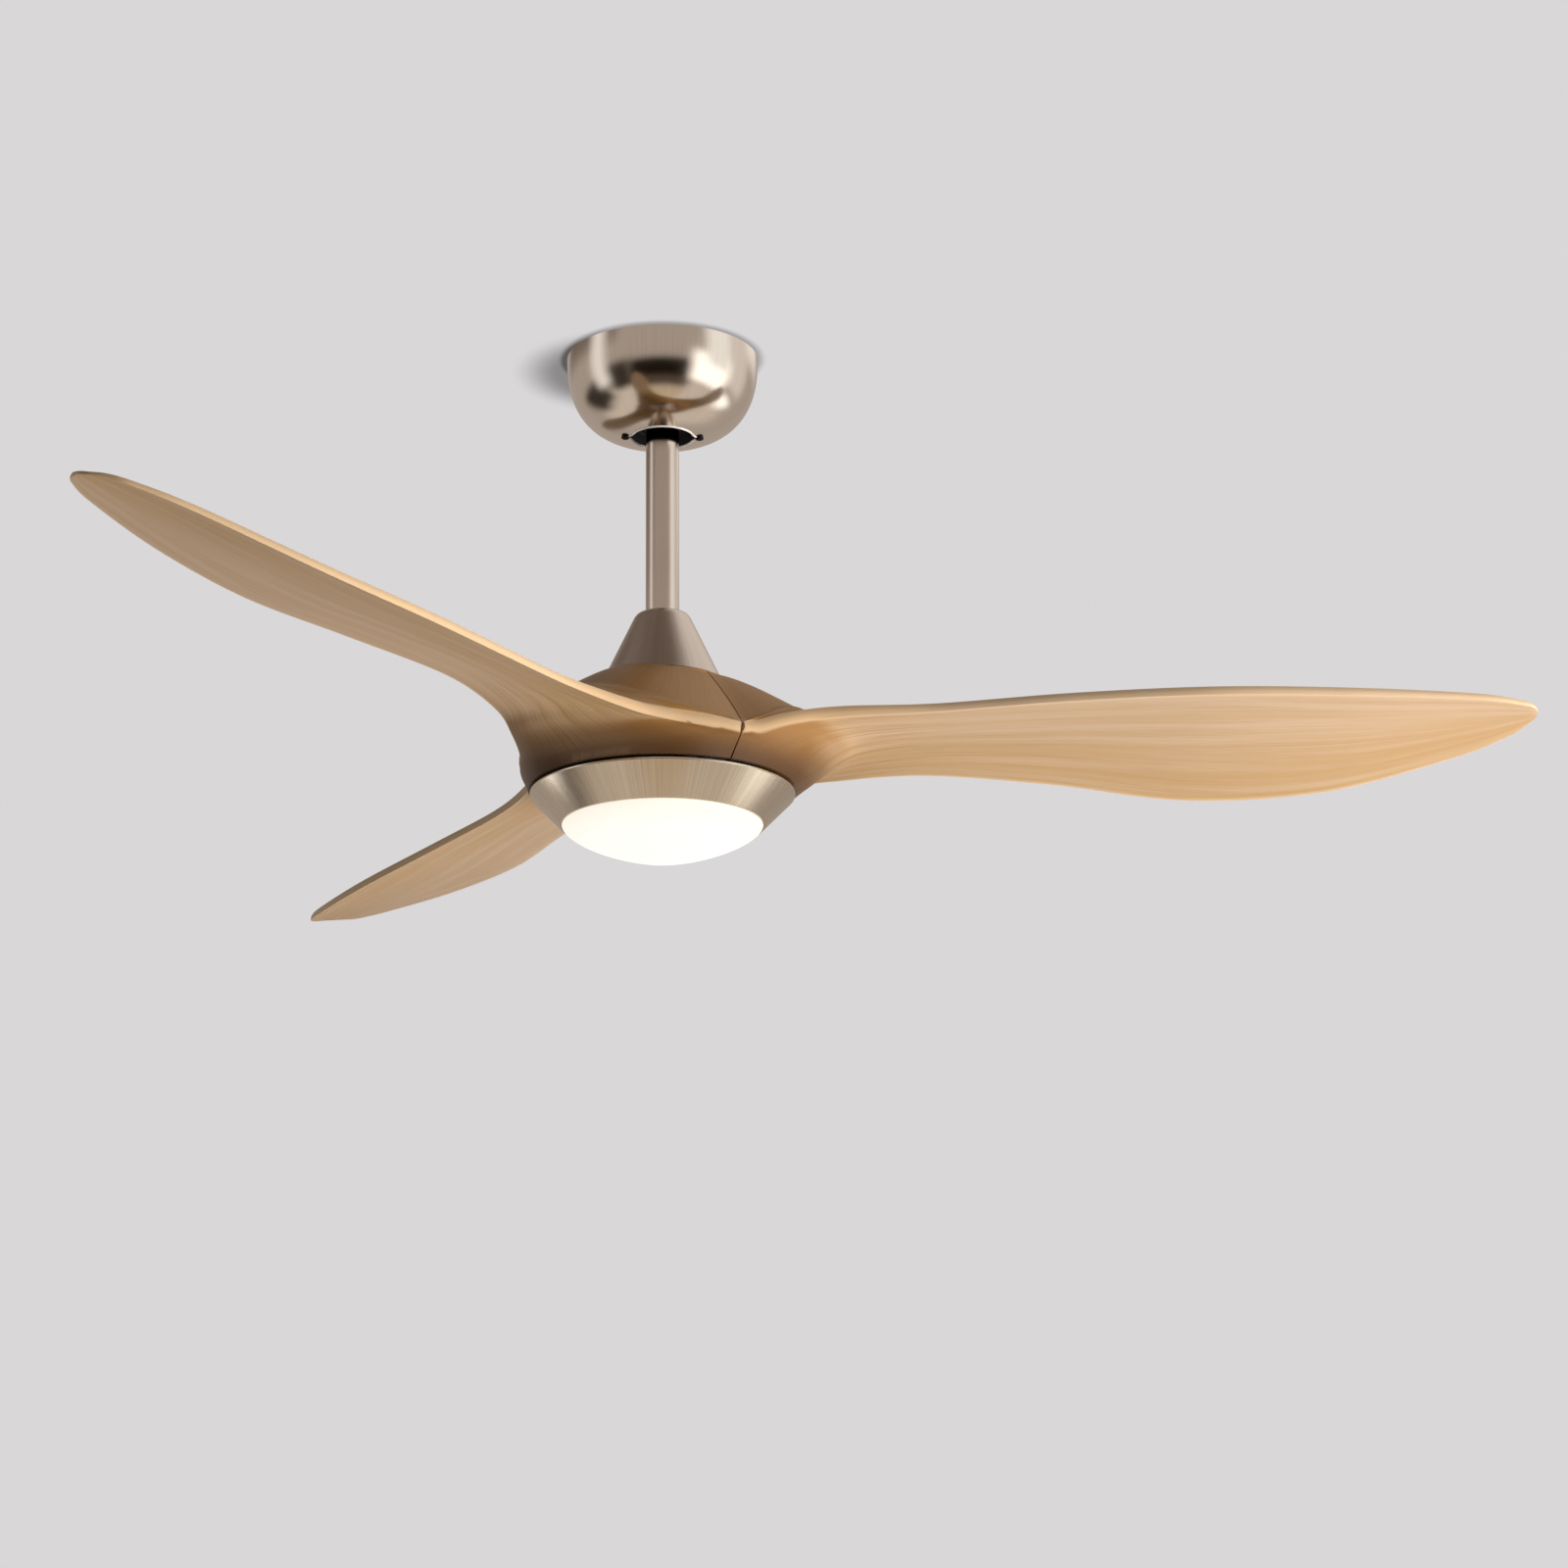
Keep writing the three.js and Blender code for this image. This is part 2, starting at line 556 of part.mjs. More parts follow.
function motorParts() {
  const footTop = rimZ + bladeFoot.depth + bladeFoot.thickness;
  const lowFlange = footTop + gap;
  const highFlange = lowFlange + motor.wall + gap;
  const { radius, wall } = motor;
  const inner = radius - wall;
  const flange = radius + motor.flangeWidth;
  const bossRadius = bearing.outer + motor.boss;
  const upperBearing = highFlange + motor.bearingRise;
  const lowerBearing = lowFlange - motor.sump;
  const cap = 2.5; // over a bearing's end
  const seatRadius = bearing.outer + gap;
  const bossHole = shaft.radius + bearing.race - 0.4;
  const roofEdge = highFlange + motor.roof;
  const roofTop = upperBearing + wall;
  const under = wall + 0.5;
  const fixings = (low, high) =>
    [-bladeScrew.spread, bladeScrew.spread].flatMap((angle) => {
      const r = (bladeFoot.inner + hubRim.radius - hubRim.width) / 2;
      const hole = disc(bladeScrew.radius + screwSlack, low - 1, high + 1, 8);
      return around(hole.translate(r, 0, 0), bladeCount, angle);
    });
  const upper = turned([
    [bossHole, upperBearing + bearing.height + cap],
    [bossRadius, upperBearing + bearing.height + cap],
    [bossRadius + 4, roofTop],
    [radius - 5, roofEdge],
    [radius, roofEdge - 5],
    [radius, highFlange + wall],
    [flange, highFlange + wall],
    [flange, highFlange],
    [inner, highFlange],
    [inner, roofEdge - 7],
    [inner - 4, roofEdge - under],
    [bossRadius + 3, roofTop - under],
    [seatRadius, roofTop - under],
    [seatRadius, upperBearing + bearing.height],
    [bossHole, upperBearing + bearing.height],
  ], medium);
  place("rotor_upper_shell", cut(upper, ...fixings(highFlange, highFlange + wall)), "steel");
  const dish = 7.5; // how far the lower shell dips between its boss and its flange
  const lower = turned([
    [bossHole, lowerBearing - cap],
    [bossRadius, lowerBearing - cap],
    [bossRadius + 1, lowFlange - dish],
    [radius - 16, lowFlange - dish],
    [radius - 6, lowFlange],
    [flange, lowFlange],
    [flange, lowFlange + wall],
    [radius - 7, lowFlange + wall],
    [radius - 17.5, lowFlange - dish + wall],
    [bossRadius + 1, lowFlange - dish + wall],
    [bossRadius + 1, lowerBearing + bearing.height],
    [seatRadius, lowerBearing + bearing.height],
    [seatRadius, lowerBearing],
    [bossHole, lowerBearing],
  ], medium);
  place("rotor_lower_shell", cut(lower, ...fixings(lowFlange, lowFlange + wall)), "steel");
  for (const [name, z] of [["upper", upperBearing], ["lower", lowerBearing]]) {
    const low = z + gap;
    const high = z + bearing.height - gap;
    const race = shaft.radius + gap + bearing.race;
    place(name + "_bearing_inner", sleeve(shaft.radius + gap, race, low, high), "steel");
    place(name + "_bearing_outer", sleeve(race + gap, bearing.outer, low, high), "steel");
  }
  const magnetInner = inner - gap - magnet.thickness;
  const magnetLow = highFlange + 1;
  const magnetRing = sleeve(magnetInner, inner - gap, magnetLow, magnetLow + magnet.height, medium);
  place("magnet_ring", magnetRing, "dark");

  // Stator: a hub with teeth, and a winding ring above and below them.
  const toothShape = [];
  const tip = magnetInner * Math.cos(Math.PI / medium) - magnet.airGap; // from the flats of the magnet ring
  for (let i = 0; i < stator.teeth; i++) {
    const a = (i * 2 * Math.PI) / stator.teeth;
    const slot = Math.PI / stator.teeth;
    const neck = (r) => Math.asin(stator.tooth / 2 / r);
    const shoe = slot * 0.86;
    const neckEnd = tip - 6;
    const shoeBack = tip - 3.5;
    const ring = [
      [stator.hubRadius, -neck(stator.hubRadius)],
      [neckEnd, -neck(neckEnd)],
      [shoeBack, -shoe],
      [tip, -shoe],
      [tip, 0],
      [tip, shoe],
      [shoeBack, shoe],
      [neckEnd, neck(neckEnd)],
      [stator.hubRadius, neck(stator.hubRadius)],
    ];
    for (const [r, turn] of ring)
      toothShape.push(new THREE.Vector2(r * Math.cos(a + turn), r * Math.sin(a + turn)));
  }
  const lamination = new THREE.Shape(toothShape);
  lamination.holes.push(new THREE.Path().absarc(0, 0, shaft.radius + gap, 0, 2 * Math.PI, true));
  const core = new THREE.ExtrudeGeometry(lamination, {
    depth: stator.height, bevelEnabled: false, curveSegments: 12,
  });
  place("stator_core", core.translate(0, 0, magnetLow), "steel");
  const coilInner = stator.hubRadius + 4;
  const coilOuter = tip - 9.5;
  for (const [name, z, up] of [
    ["winding_upper", magnetLow + stator.height + gap, 1],
    ["winding_lower", magnetLow - gap, -1],
  ]) {
    const coil = [
      [coilInner, 0],
      [coilOuter, 0],
      [coilOuter, 2.4],
      [coilOuter - 6, 4.2],
      [coilInner + 7, 4.6],
      [coilInner, 3],
    ];
    place(name, turned(coil.map(([r, h]) => [r, z + up * h]), medium), "copper");
  }
}

function lightKit() {
  const plateTop = rimZ + mountPlate.rise;
  const plateBottom = plateTop - mountPlate.thickness;
  const shaftTop = rodBottom - 2 * gap;
  const nutTop = plateBottom - gap;
  const nutBottom = nutTop - shaftNut.height;
  place("motor_shaft", sleeve(shaft.bore, shaft.radius, nutBottom - 1.5, shaftTop), "steel");
  const flangeTop = nutTop;
  const flangeBottom = flangeTop - ringLip.flange;
  const panTop = flangeBottom - gap;
  const panBottom = panTop - pan.depth;
  const fixRadius = (pan.radius + pan.flange) / 2;
  const fixing = disc(lightScrew.radius + screwSlack, panTop - 9, plateTop + 9, 8);
  const fixings = around(fixing.translate(fixRadius, 0, 0), lightScrew.count, lightScrew.turn);
  const plateDisc = sleeve(shaft.radius + gap, mountPlate.radius, plateBottom, plateTop, fine);
  place("light_mount_plate", cut(plateDisc, ...fixings), "steel");
  const nutBore = disc(shaft.radius + gap, nutBottom - 1, nutTop + 1);
  place("shaft_nut", cut(disc(shaftNut.radius, nutBottom, nutTop, 6), nutBore), "brass");

  const { topRadius, bottomRadius, wall } = lightRing;
  const lip = ringLip.inner;
  const slope = (topRadius - bottomRadius) / (ringTop - ringBottom);
  const radiusAt = (z) => bottomRadius + slope * (z - ringBottom);
  const shell = turned([
    [pan.radius - 4, flangeTop],
    [topRadius - ringLip.bevel, flangeTop],
    [topRadius, ringTop],
    [bottomRadius, ringBottom],
    [lip, ringBottom],
    [lip, ringBottom + wall],
    [radiusAt(ringBottom + wall) - wall, ringBottom + wall],
    [radiusAt(flangeBottom) - wall * 1.2, flangeBottom],
    [pan.radius - 4, flangeBottom],
  ]);
  const lugNotch = (grow) => {
    const reach = lug.reach + grow;
    const deep = lens.collar - 3;
    const width = lug.width + 2 * grow;
    return block(reach - deep, width, lug.height + 2 * grow, (reach + deep) / 2, 0, 0);
  };
  const notch = lugNotch(2 * gap).translate(0, 0, ringBottom + wall / 2);
  const notches = around(notch, lug.count, lug.turn);
  place("light_ring", cut(shell, ...notches, ...fixings.map((hole) => hole.clone())), "nickel");

  const panShell = turned([
    [0, panBottom],
    [pan.radius, panBottom],
    [pan.radius, panTop - pan.wall],
    [pan.flange, panTop - pan.wall],
    [pan.flange, panTop],
    [pan.radius - pan.wall, panTop],
    [pan.radius - pan.wall, panBottom + pan.wall],
    [0, panBottom + pan.wall],
  ]);
  place("driver_pan", cut(panShell, ...fixings.map((hole) => hole.clone())), "steel");
  const lightFixing = screw(lightScrew).translate(fixRadius, 0, panTop - pan.wall - gap);
  around(lightFixing, lightScrew.count, lightScrew.turn).forEach((part, i) =>
    place("light_screw_" + (i + 1), part, "steel"),
  );
  const driverZ = panBottom + pan.wall + gap + driver.height / 2;
  place("led_driver", block(driver.length, driver.width, driver.height, 0, driver.y, driverZ), "plastic");
  const boardTop = panBottom - gap;
  place("led_board", disc(board.radius, boardTop - board.thickness, boardTop, fine), "plastic");

  // Lens: an opal dome with a collar whose lugs sit over the ring's lip.
  const rimTop = ringBottom - gap;
  const dome = (radius, sag, top) =>
    Array.from({ length: 8 }, (_, i) => {
      const share = 1 - (1 - i / 7) ** 2;
      return [radius * (1 - share ** 1.5) ** (1 / 1.3), top - sag * share];
    });
  const collarTop = rimTop + lens.collarHeight;
  const outside = dome(lens.radius, lens.sag, rimTop);
  const inside = dome(lens.collar - 2, lens.sag - lens.wall, rimTop);
  const domeShell = turned([
    [lens.collar, rimTop],
    ...outside,
    ...inside.reverse(),
    [lens.collar - 2, collarTop],
    [lens.collar, collarTop],
  ]);
  const lugZ = ringBottom + wall + gap + lug.height / 2;
  const lugs = around(lugNotch(0).translate(0, 0, lugZ), lug.count);
  const inward = disc(lens.collar - 2, collarTop - 9, collarTop + 9, fine);
  const trimmed = lugs.map((one) => cut(one, inward));
  place("lens", join(domeShell, ...trimmed), "opal");
}

ceilingEnd();
ballJoint();
rodAndYoke();
couplingCover();
blades();
motorParts();
lightKit();

export default fan;
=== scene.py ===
import json
from math import atan2, cos, hypot, pi, radians, sin

import bmesh
import bpy
from mathutils import Matrix, Vector


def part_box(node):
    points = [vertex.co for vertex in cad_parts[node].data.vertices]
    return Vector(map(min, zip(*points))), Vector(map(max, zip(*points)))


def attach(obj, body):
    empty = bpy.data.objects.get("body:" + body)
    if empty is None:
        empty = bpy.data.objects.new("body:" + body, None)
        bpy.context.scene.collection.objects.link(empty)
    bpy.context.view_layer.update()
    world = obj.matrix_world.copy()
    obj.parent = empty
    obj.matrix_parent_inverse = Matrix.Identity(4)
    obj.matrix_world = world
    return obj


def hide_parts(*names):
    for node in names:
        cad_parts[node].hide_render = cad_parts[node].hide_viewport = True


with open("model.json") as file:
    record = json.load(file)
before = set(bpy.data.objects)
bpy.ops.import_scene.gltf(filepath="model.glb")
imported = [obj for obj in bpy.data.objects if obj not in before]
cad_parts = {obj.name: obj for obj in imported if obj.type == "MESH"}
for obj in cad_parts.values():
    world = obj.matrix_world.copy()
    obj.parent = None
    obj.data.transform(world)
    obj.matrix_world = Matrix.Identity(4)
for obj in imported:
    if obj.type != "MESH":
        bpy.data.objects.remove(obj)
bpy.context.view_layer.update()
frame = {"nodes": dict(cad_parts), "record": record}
mm = 0.001
bladeLow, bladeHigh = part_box("blade_1")
coverLow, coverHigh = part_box("coupling_cover")
canopyLow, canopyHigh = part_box("canopy")
print("frame loaded, parts:", len(frame["nodes"]))


# Shader maths: a Wire is one socket, and expressions on it add Math nodes.
class Wire:
    def __init__(self, kit, socket):
        self.kit = kit
        self.socket = socket

    def math(self, operation, *others):
        inputs = dict(enumerate((self, *others)))
        return self.kit.node("ShaderNodeMath", {"operation": operation}, inputs)

    def flipped(self, operation, other):
        return self.kit.node("ShaderNodeMath", {"operation": operation}, {0: other, 1: self})

    def __add__(self, other): return self.math("ADD", other)
    def __radd__(self, other): return self.math("ADD", other)
    def __sub__(self, other): return self.math("SUBTRACT", other)
    def __rsub__(self, other): return self.flipped("SUBTRACT", other)
    def __mul__(self, other): return self.math("MULTIPLY", other)
    def __rmul__(self, other): return self.math("MULTIPLY", other)
    def __truediv__(self, other): return self.math("DIVIDE", other)
    def __rtruediv__(self, other): return self.flipped("DIVIDE", other)
    def __pow__(self, other): return self.math("POWER", other)

    def ramp(self, low, high):
        return self.kit.node(
            "ShaderNodeMapRange", {"interpolation_type": "SMOOTHSTEP"},
            {0: self, 1: low, 2: high, 3: 0.0, 4: 1.0},
        )


class Kit:
    def __init__(self, tree):
        self.tree = tree

    # One call makes any node: its settings first, then its inputs by name or number.
    def node(self, kind, settings=None, inputs=None, out=0):
        made = self.tree.nodes.new(kind)
        for key, value in (settings or {}).items():
            setattr(made, key, value)
        for key, value in (inputs or {}).items():
            if isinstance(value, Wire):
                self.tree.links.new(value.socket, made.inputs[key])
            else:
                made.inputs[key].default_value = value
        return Wire(self, made.outputs[out])

    def mix(self, factor, first, second):
        pair = {0: factor, 6: first, 7: second}
        return self.node("ShaderNodeMix", {"data_type": "RGBA"}, pair, 2)

    def split(self, vector):
        parts = self.node("ShaderNodeSeparateXYZ", {}, {0: vector}).socket.node
        return [Wire(self, out) for out in parts.outputs]

    def vector(self, x, y, z):
        return self.node("ShaderNodeCombineXYZ", {}, {0: x, 1: y, 2: z})

    def place(self):
        return self.node("ShaderNodeTexCoord", out="Object")

    def noise(self, vector, scale, detail=2.0, roughness=0.5):
        return self.node("ShaderNodeTexNoise", {}, {
            "Vector": vector, "Scale": scale, "Detail": detail, "Roughness": roughness,
        })

    def bump(self, height, strength, distance):
        return self.node("ShaderNodeBump", {}, {
            "Height": height, "Strength": strength, "Distance": distance,
        })


def colour(red, green, blue):
    def linear(value):
        share = value / 255
        return share / 12.92 if share <= 0.04045 else ((share + 0.055) / 1.055) ** 2.4
    return (linear(red), linear(green), linear(blue), 1.0)


def makeMaterial(name, constants, build):
    made = bpy.data.materials.new(name)
    made.use_nodes = True
    shader = made.node_tree.nodes["Principled BSDF"]
    for socket, value in constants.items():
        shader.inputs[socket].default_value = value
    for socket, wire in build(Kit(made.node_tree)).items():
        made.node_tree.links.new(wire.socket, shader.inputs[socket])
    return made


# Plated metal. Brushing runs up the part's own wall, so it is drawn round the upright axis.
# Walls that face the axis or the ceiling can carry a dark colour instead: a painted shade for the dark
# inside of the hollow.
# Above a given height the metal is painted near black: a painted reflection of the canopy's dark inside.
def platedMetal(name, light, dark, gloss, brushDepth, lines=90, stretch=9, insideShade=None,
                darkReflectionFrom=None):
    def build(kit):
        spot = kit.place()
        x, y, z = kit.split(spot)
        reach = (x * x + y * y + 1e-8) ** 0.5
        wrapped = kit.vector(x / reach * lines, y / reach * lines, z * stretch)
        brush = kit.noise(wrapped, 1.0, 3.0, 0.6)
        fine = kit.noise(wrapped, 3.7, 2.0, 0.5)
        cloud = kit.noise(spot, 14.0, 3.0)
        tone = (brush * 0.6 + fine * 0.4).ramp(0.3, 0.72)
        plating = kit.mix(tone * 0.55 + cloud * 0.45, dark, light)
        roughness = gloss + 0.1 * (fine - 0.5) + 0.08 * (cloud - 0.5)
        made = {"Normal": kit.bump(brush + fine * 0.5, brushDepth, 0.0004)}
        if darkReflectionFrom:
            # painted reflection: above that height the colour goes near black
            plating = kit.mix(z.ramp(darkReflectionFrom, darkReflectionFrom + 3 * mm), plating, colour(30, 26, 22))
        # painted shade: walls turned inwards take the dark colour and lose their metal
        if insideShade:
            nx, ny, nz = kit.split(kit.node("ShaderNodeNewGeometry", out="Normal"))
            outwards = (nx * x + ny * y) / reach - nz
            bare = outwards.ramp(-0.2, 0.0)
            plating = kit.mix(bare, insideShade, plating)
            roughness = roughness * bare + 0.7 * (1 - bare)
            made["Metallic"] = bare
        return made | {"Base Color": plating, "Roughness": roughness}
    return makeMaterial(name, {"Metallic": 1.0}, build)


# Pressed, turned or moulded parts: a base tone, small clouds and a fine surface.
def plainFinish(name, tone, metallic, gloss, cloudScale=60, grainScale=900, depth=0.15):
    light = tuple(min(1.0, part * 1.18) for part in tone[:3]) + (1.0,)
    dark = tuple(part * 0.8 for part in tone[:3]) + (1.0,)
    def build(kit):
        spot = kit.place()
        cloud = kit.noise(spot, cloudScale, 3.0)
        grain = kit.noise(spot, grainScale, 2.0)
        return {
            "Base Color": kit.mix(cloud.ramp(0.3, 0.7), dark, light),
            "Roughness": gloss + 0.16 * (cloud - 0.5) + 0.1 * (grain - 0.5),
            "Normal": kit.bump(grain, depth, 0.0003),
        }
    return makeMaterial(name, {"Metallic": metallic}, build)


oak = {
    "tan": colour(198, 172, 146),
    "gold": colour(180, 146, 102),
    "line": colour(150, 108, 60),
    "pore": colour(104, 70, 36),
    "deep": colour(138, 94, 36),
    # the skirt's dark brown is a painted shade
    "skirtShade": colour(54, 30, 10),
    "orange": colour(176, 116, 48),
    # edge: the pale tone of the edge bands, partly a painted highlight
    "edge": colour(224, 194, 156),
    "gloss": 0.44,
    "grainDepth": 0.3,
    # distances from the axis where the hub's tones start and end
    "hub": (0.1, 0.26),
    "deepRange": (0.11, 0.24),
    "skirtRange": (0.11, 0.2),
    "lipRange": (coverHigh[0] + 4.5 * mm, coverHigh[0] + 9.5 * mm),
    # heights over which the skirt's painted shade fades upwards and the lip's tone comes in
    "skirtFade": (bladeLow[2], bladeLow[2] + 34 * mm),
    "lipFade": (bladeLow[2] + 34 * mm, bladeLow[2] + 54 * mm),
}


# Moulded wood grain. The piece's own map gives the way along the blade, and across it, in metres.
def oakGrain():
    def build(kit):
        grainMap = kit.node("ShaderNodeUVMap", {"uv_map": "grain"})
        along, across = kit.split(grainMap)[:2]
        x, y, z = kit.split(kit.place())
        reach = (x * x + y * y + 1e-8) ** 0.5
        hub = 1 - reach.ramp(*oak["hub"])
        drift = kit.noise(kit.vector(along * 4, across * 12, z * 6), 1.0, 2.0)
        wavy = across + 0.014 * (drift - 0.5)
        broad = kit.noise(kit.vector(along * 2.4, wavy * 55, z * 6), 1.0, 3.0, 0.55)
        fine = kit.noise(kit.vector(along * 8, wavy * 520, z * 12), 1.0, 3.0, 0.62)
        pore = kit.noise(kit.vector(along * 34, wavy * 1700, z * 24), 1.0, 2.0, 0.5)
        # across the blade the colour goes from tan at the back edge to gold at the front one; the tan back
        # edge is a painted sheen
        side = (across + along * 0.03).ramp(-0.08, 0.06)
        ground = kit.mix(side * 0.55 + 0.45 * broad.ramp(0.35, 0.65), oak["tan"], oak["gold"])
        ground = kit.mix(hub * 0.55, ground, oak["gold"])
        lined = kit.mix(fine.ramp(0.46, 0.7) * (0.2 + 0.6 * hub), ground, oak["line"])
        grained = kit.mix(pore.ramp(0.52, 0.74) * (0.12 + 0.45 * hub), lined, oak["pore"])
        # near the hub the wood is a deeper gold where it does not face down; its skirt, over the light, is
        # painted darkest, a painted shade
        facing = kit.split(kit.node("ShaderNodeNewGeometry", out="Normal"))[2]
        sideways = facing.ramp(-0.93, -0.7)
        deep = kit.mix((1 - reach.ramp(*oak["deepRange"])) * sideways * 0.9, grained, oak["deep"])
        # painted shade: the skirt just over the light ring goes darkest
        skirt = (1 - reach.ramp(*oak["skirtRange"])) * (1 - z.ramp(*oak["skirtFade"]))
        shaded = kit.mix(skirt * 0.9, deep, oak["skirtShade"])
        lip = (1 - reach.ramp(*oak["lipRange"])) * z.ramp(*oak["lipFade"])
        lipped = kit.mix(lip * 0.75, shaded, oak["orange"])
        band = kit.node("ShaderNodeAttribute", {"attribute_name": "edgeBand"}, {}, "Fac")
        return {
            # the edge band is painted paler: a painted highlight on the rounded edges, over their paler
            # tone
            "Base Color": kit.mix(band * (0.4 + 0.3 * broad), lipped, oak["edge"]),
            "Roughness": oak["gloss"] + 0.16 * (fine - 0.5) + 0.1 * (broad - 0.5),
            "Normal": kit.bump(fine * 0.8 - pore * 0.4, oak["grainDepth"], 0.0004),
        }
    constants = {"Coat Weight": 0.1, "Coat Roughness": 0.35, "IOR": 1.46}
    return makeMaterial("oakGrain", constants, build)


opal = {
    "glow": colour(254, 251, 245),
    "rim": colour(254, 248, 234),
    "strength": 0.93,
    "rimRange": (55 * mm, 77 * mm),
}


def opalGlow():
    def build(kit):
        spot = kit.place()
        x, y, z = kit.split(spot)
        reach = (x * x + y * y + 1e-8) ** 0.5
        edge = reach.ramp(*opal["rimRange"])
        frost = kit.noise(spot, 240.0, 2.0)
        return {
            "Base Color": kit.mix(frost, colour(96, 92, 84), colour(112, 108, 100)),
            "Emission Color": kit.mix(edge, opal["glow"], opal["rim"]),
            "Roughness": 0.4 + 0.1 * frost,
            "Normal": kit.bump(frost, 0.06, 0.0002),
        }
    constants = {"Emission Strength": opal["strength"], "Specular IOR Level": 0.2}
    return makeMaterial("opalGlow", constants, build)


def windingCopper():
    def build(kit):
        spot = kit.place()
        turns = kit.node("ShaderNodeTexWave", {"bands_direction": "Z"}, {
            "Vector": spot, "Scale": 420.0, "Distortion": 1.5, "Detail": 1.0,
        })
        return {
            "Base Color": kit.mix(turns, colour(92, 38, 14), colour(198, 108, 52)),
            "Roughness": 0.3 + 0.2 * turns,
            "Normal": kit.bump(turns, 0.5, 0.0004),
        }
    return makeMaterial("windingCopper", {"Metallic": 0.8}, build)


finishes = {
    # the canopy's inward walls are painted near black, a painted shade
    "nickel": platedMetal("satinNickel", colour(240, 233, 225), colour(222, 213, 203), 0.17, 0.03,
                          insideShade=colour(16, 14, 13)),
    # the rod's top, inside the canopy's mouth, is painted near black, a painted reflection
    "rod_nickel": platedMetal("rodNickel", colour(232, 222, 212), colour(206, 195, 186), 0.22, 0.06,
                              darkReflectionFrom=canopyLow[2] - 0.009),
    "cover_nickel": platedMetal("brushedCover", colour(224, 212, 203), colour(184, 172, 163), 0.32, 0.14,
                                120, 7),
    "ring_nickel": platedMetal("brushedRing", colour(236, 226, 210), colour(190, 178, 160), 0.22, 0.12,
                               120, 7),
    # bright_lip is white and not metal: a painted highlight along the canopy's rolled lip
    "bright_lip": plainFinish("brightLip", colour(255, 250, 240), 0.0, 0.3),
    "zinc_steel": plainFinish("zincSteel", colour(176, 178, 178), 1.0, 0.38),
    "black_steel": plainFinish("blackSteel", colour(26, 25, 24), 0.6, 0.42),
    "bearing_steel": plainFinish("bearingSteel", colour(196, 196, 198), 1.0, 0.18, 90),
    "lamination_steel": plainFinish("laminationSteel", colour(96, 98, 104), 0.7, 0.5),
    "copper_winding": windingCopper(),
    "brass_fixing": plainFinish("turnedBrass", colour(206, 168, 86), 1.0, 0.28),
    "cast_yoke": plainFinish("blackYoke", colour(38, 37, 36), 0.2, 0.55, 60, 500, 0.3),
    "white_pan": plainFinish("whiteEnamel", colour(226, 225, 220), 0.0, 0.4),
    "black_plastic": plainFinish("blackPlastic", colour(24, 24, 25), 0.0, 0.5, 60, 700, 0.25),
    "white_plastic": plainFinish("whitePlastic", colour(232, 230, 222), 0.0, 0.45, 60, 700, 0.2),
    "black_rubber": plainFinish("blackRubber", colour(20, 20, 20), 0.0, 0.8, 60, 700, 0.3),
    "oak_grain": oakGrain(),
    "opal_lens": opalGlow(),
}
print("finishes made:", len(finishes))

slotOf = {part["node"]: part["material_slot"] for part in frame["record"]["subparts"]}
for name, part in frame["nodes"].items():
    part.data.materials.clear()
    part.data.materials.append(finishes[slotOf[name]])


def newPiece(name, mesh, finish, body, replaced=()):
    piece = bpy.data.objects.new(name, mesh)
    bpy.context.scene.collection.objects.link(piece)
    if finish:
        mesh.materials.clear()
        mesh.materials.append(finishes[finish])
    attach(piece, body)
    if replaced:
        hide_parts(*replaced)
    return piece


def smooth(mesh, angle=32):
    mesh.shade_smooth()
    mesh.set_sharp_from_angle(angle=radians(angle))


def turnedMesh(name, outline, segments=128):
    # outline: a closed list of (radius, z) in metres; points on the axis become poles
    bm = bmesh.new()
    rings = []
    for r, z in outline:
        if r < 1e-7:
            rings.append([bm.verts.new((0, 0, z))])
            continue
        turn = [2 * pi * i / segments for i in range(segments)]
        rings.append([bm.verts.new((r * cos(a), r * sin(a), z)) for a in turn])
    for lower, upper in zip(rings, rings[1:] + rings[:1]):
        if len(lower) == 1 and len(upper) == 1:
            continue
        for i in range(segments):
            j = (i + 1) % segments
            corners = [lower[i % len(lower)], lower[j % len(lower)]]
            corners += [upper[j % len(upper)], upper[i % len(upper)]]
            bm.faces.new(list(dict.fromkeys(corners)))
    bmesh.ops.recalc_face_normals(bm, faces=bm.faces)
    mesh = bpy.data.meshes.new(name)
    bm.to_mesh(mesh)
    bm.free()
    smooth(mesh)
    return mesh


def rounded(points, radius, steps=4):
    # replaces each corner of a closed outline by a small arc-like curve
    result = []
    count = len(points)
    for i, (r, z) in enumerate(points):
        before = Vector(points[i - 1]) - Vector((r, z))
        after = Vector(points[(i + 1) % count]) - Vector((r, z))
        if r < 1e-7 or before.length < 1e-6 or after.length < 1e-6:
            result.append((r, z))
            continue
        size = min(radius, before.length * 0.45, after.length * 0.45)
        start = Vector((r, z)) + before.normalized() * size
        end = Vector((r, z)) + after.normalized() * size
        for k in range(steps + 1):
            t = k / steps
            spot = start * (1 - t) ** 2 + Vector((r, z)) * 2 * t * (1 - t) + end * t * t
            result.append((spot.x, spot.y))
    return result


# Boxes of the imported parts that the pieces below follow.
rodLow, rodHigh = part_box("downrod")
ringLow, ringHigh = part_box("light_ring")
lensLow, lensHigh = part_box("lens")


def unitGrid(name, across, along):
    # a strip of quads whose vertices carry (turn, step) in x and y, for a node tree to shape
    bm = bmesh.new()
    rows = [
        [bm.verts.new((i / across, j / along, 0)) for i in range(across + 1)]
        for j in range(along + 1)
    ]
    for j in range(along):
        for i in range(across):
            bm.faces.new((rows[j][i], rows[j][i + 1], rows[j + 1][i + 1], rows[j + 1][i]))
    mesh = bpy.data.meshes.new(name)
    bm.to_mesh(mesh)
    bm.free()
    return mesh


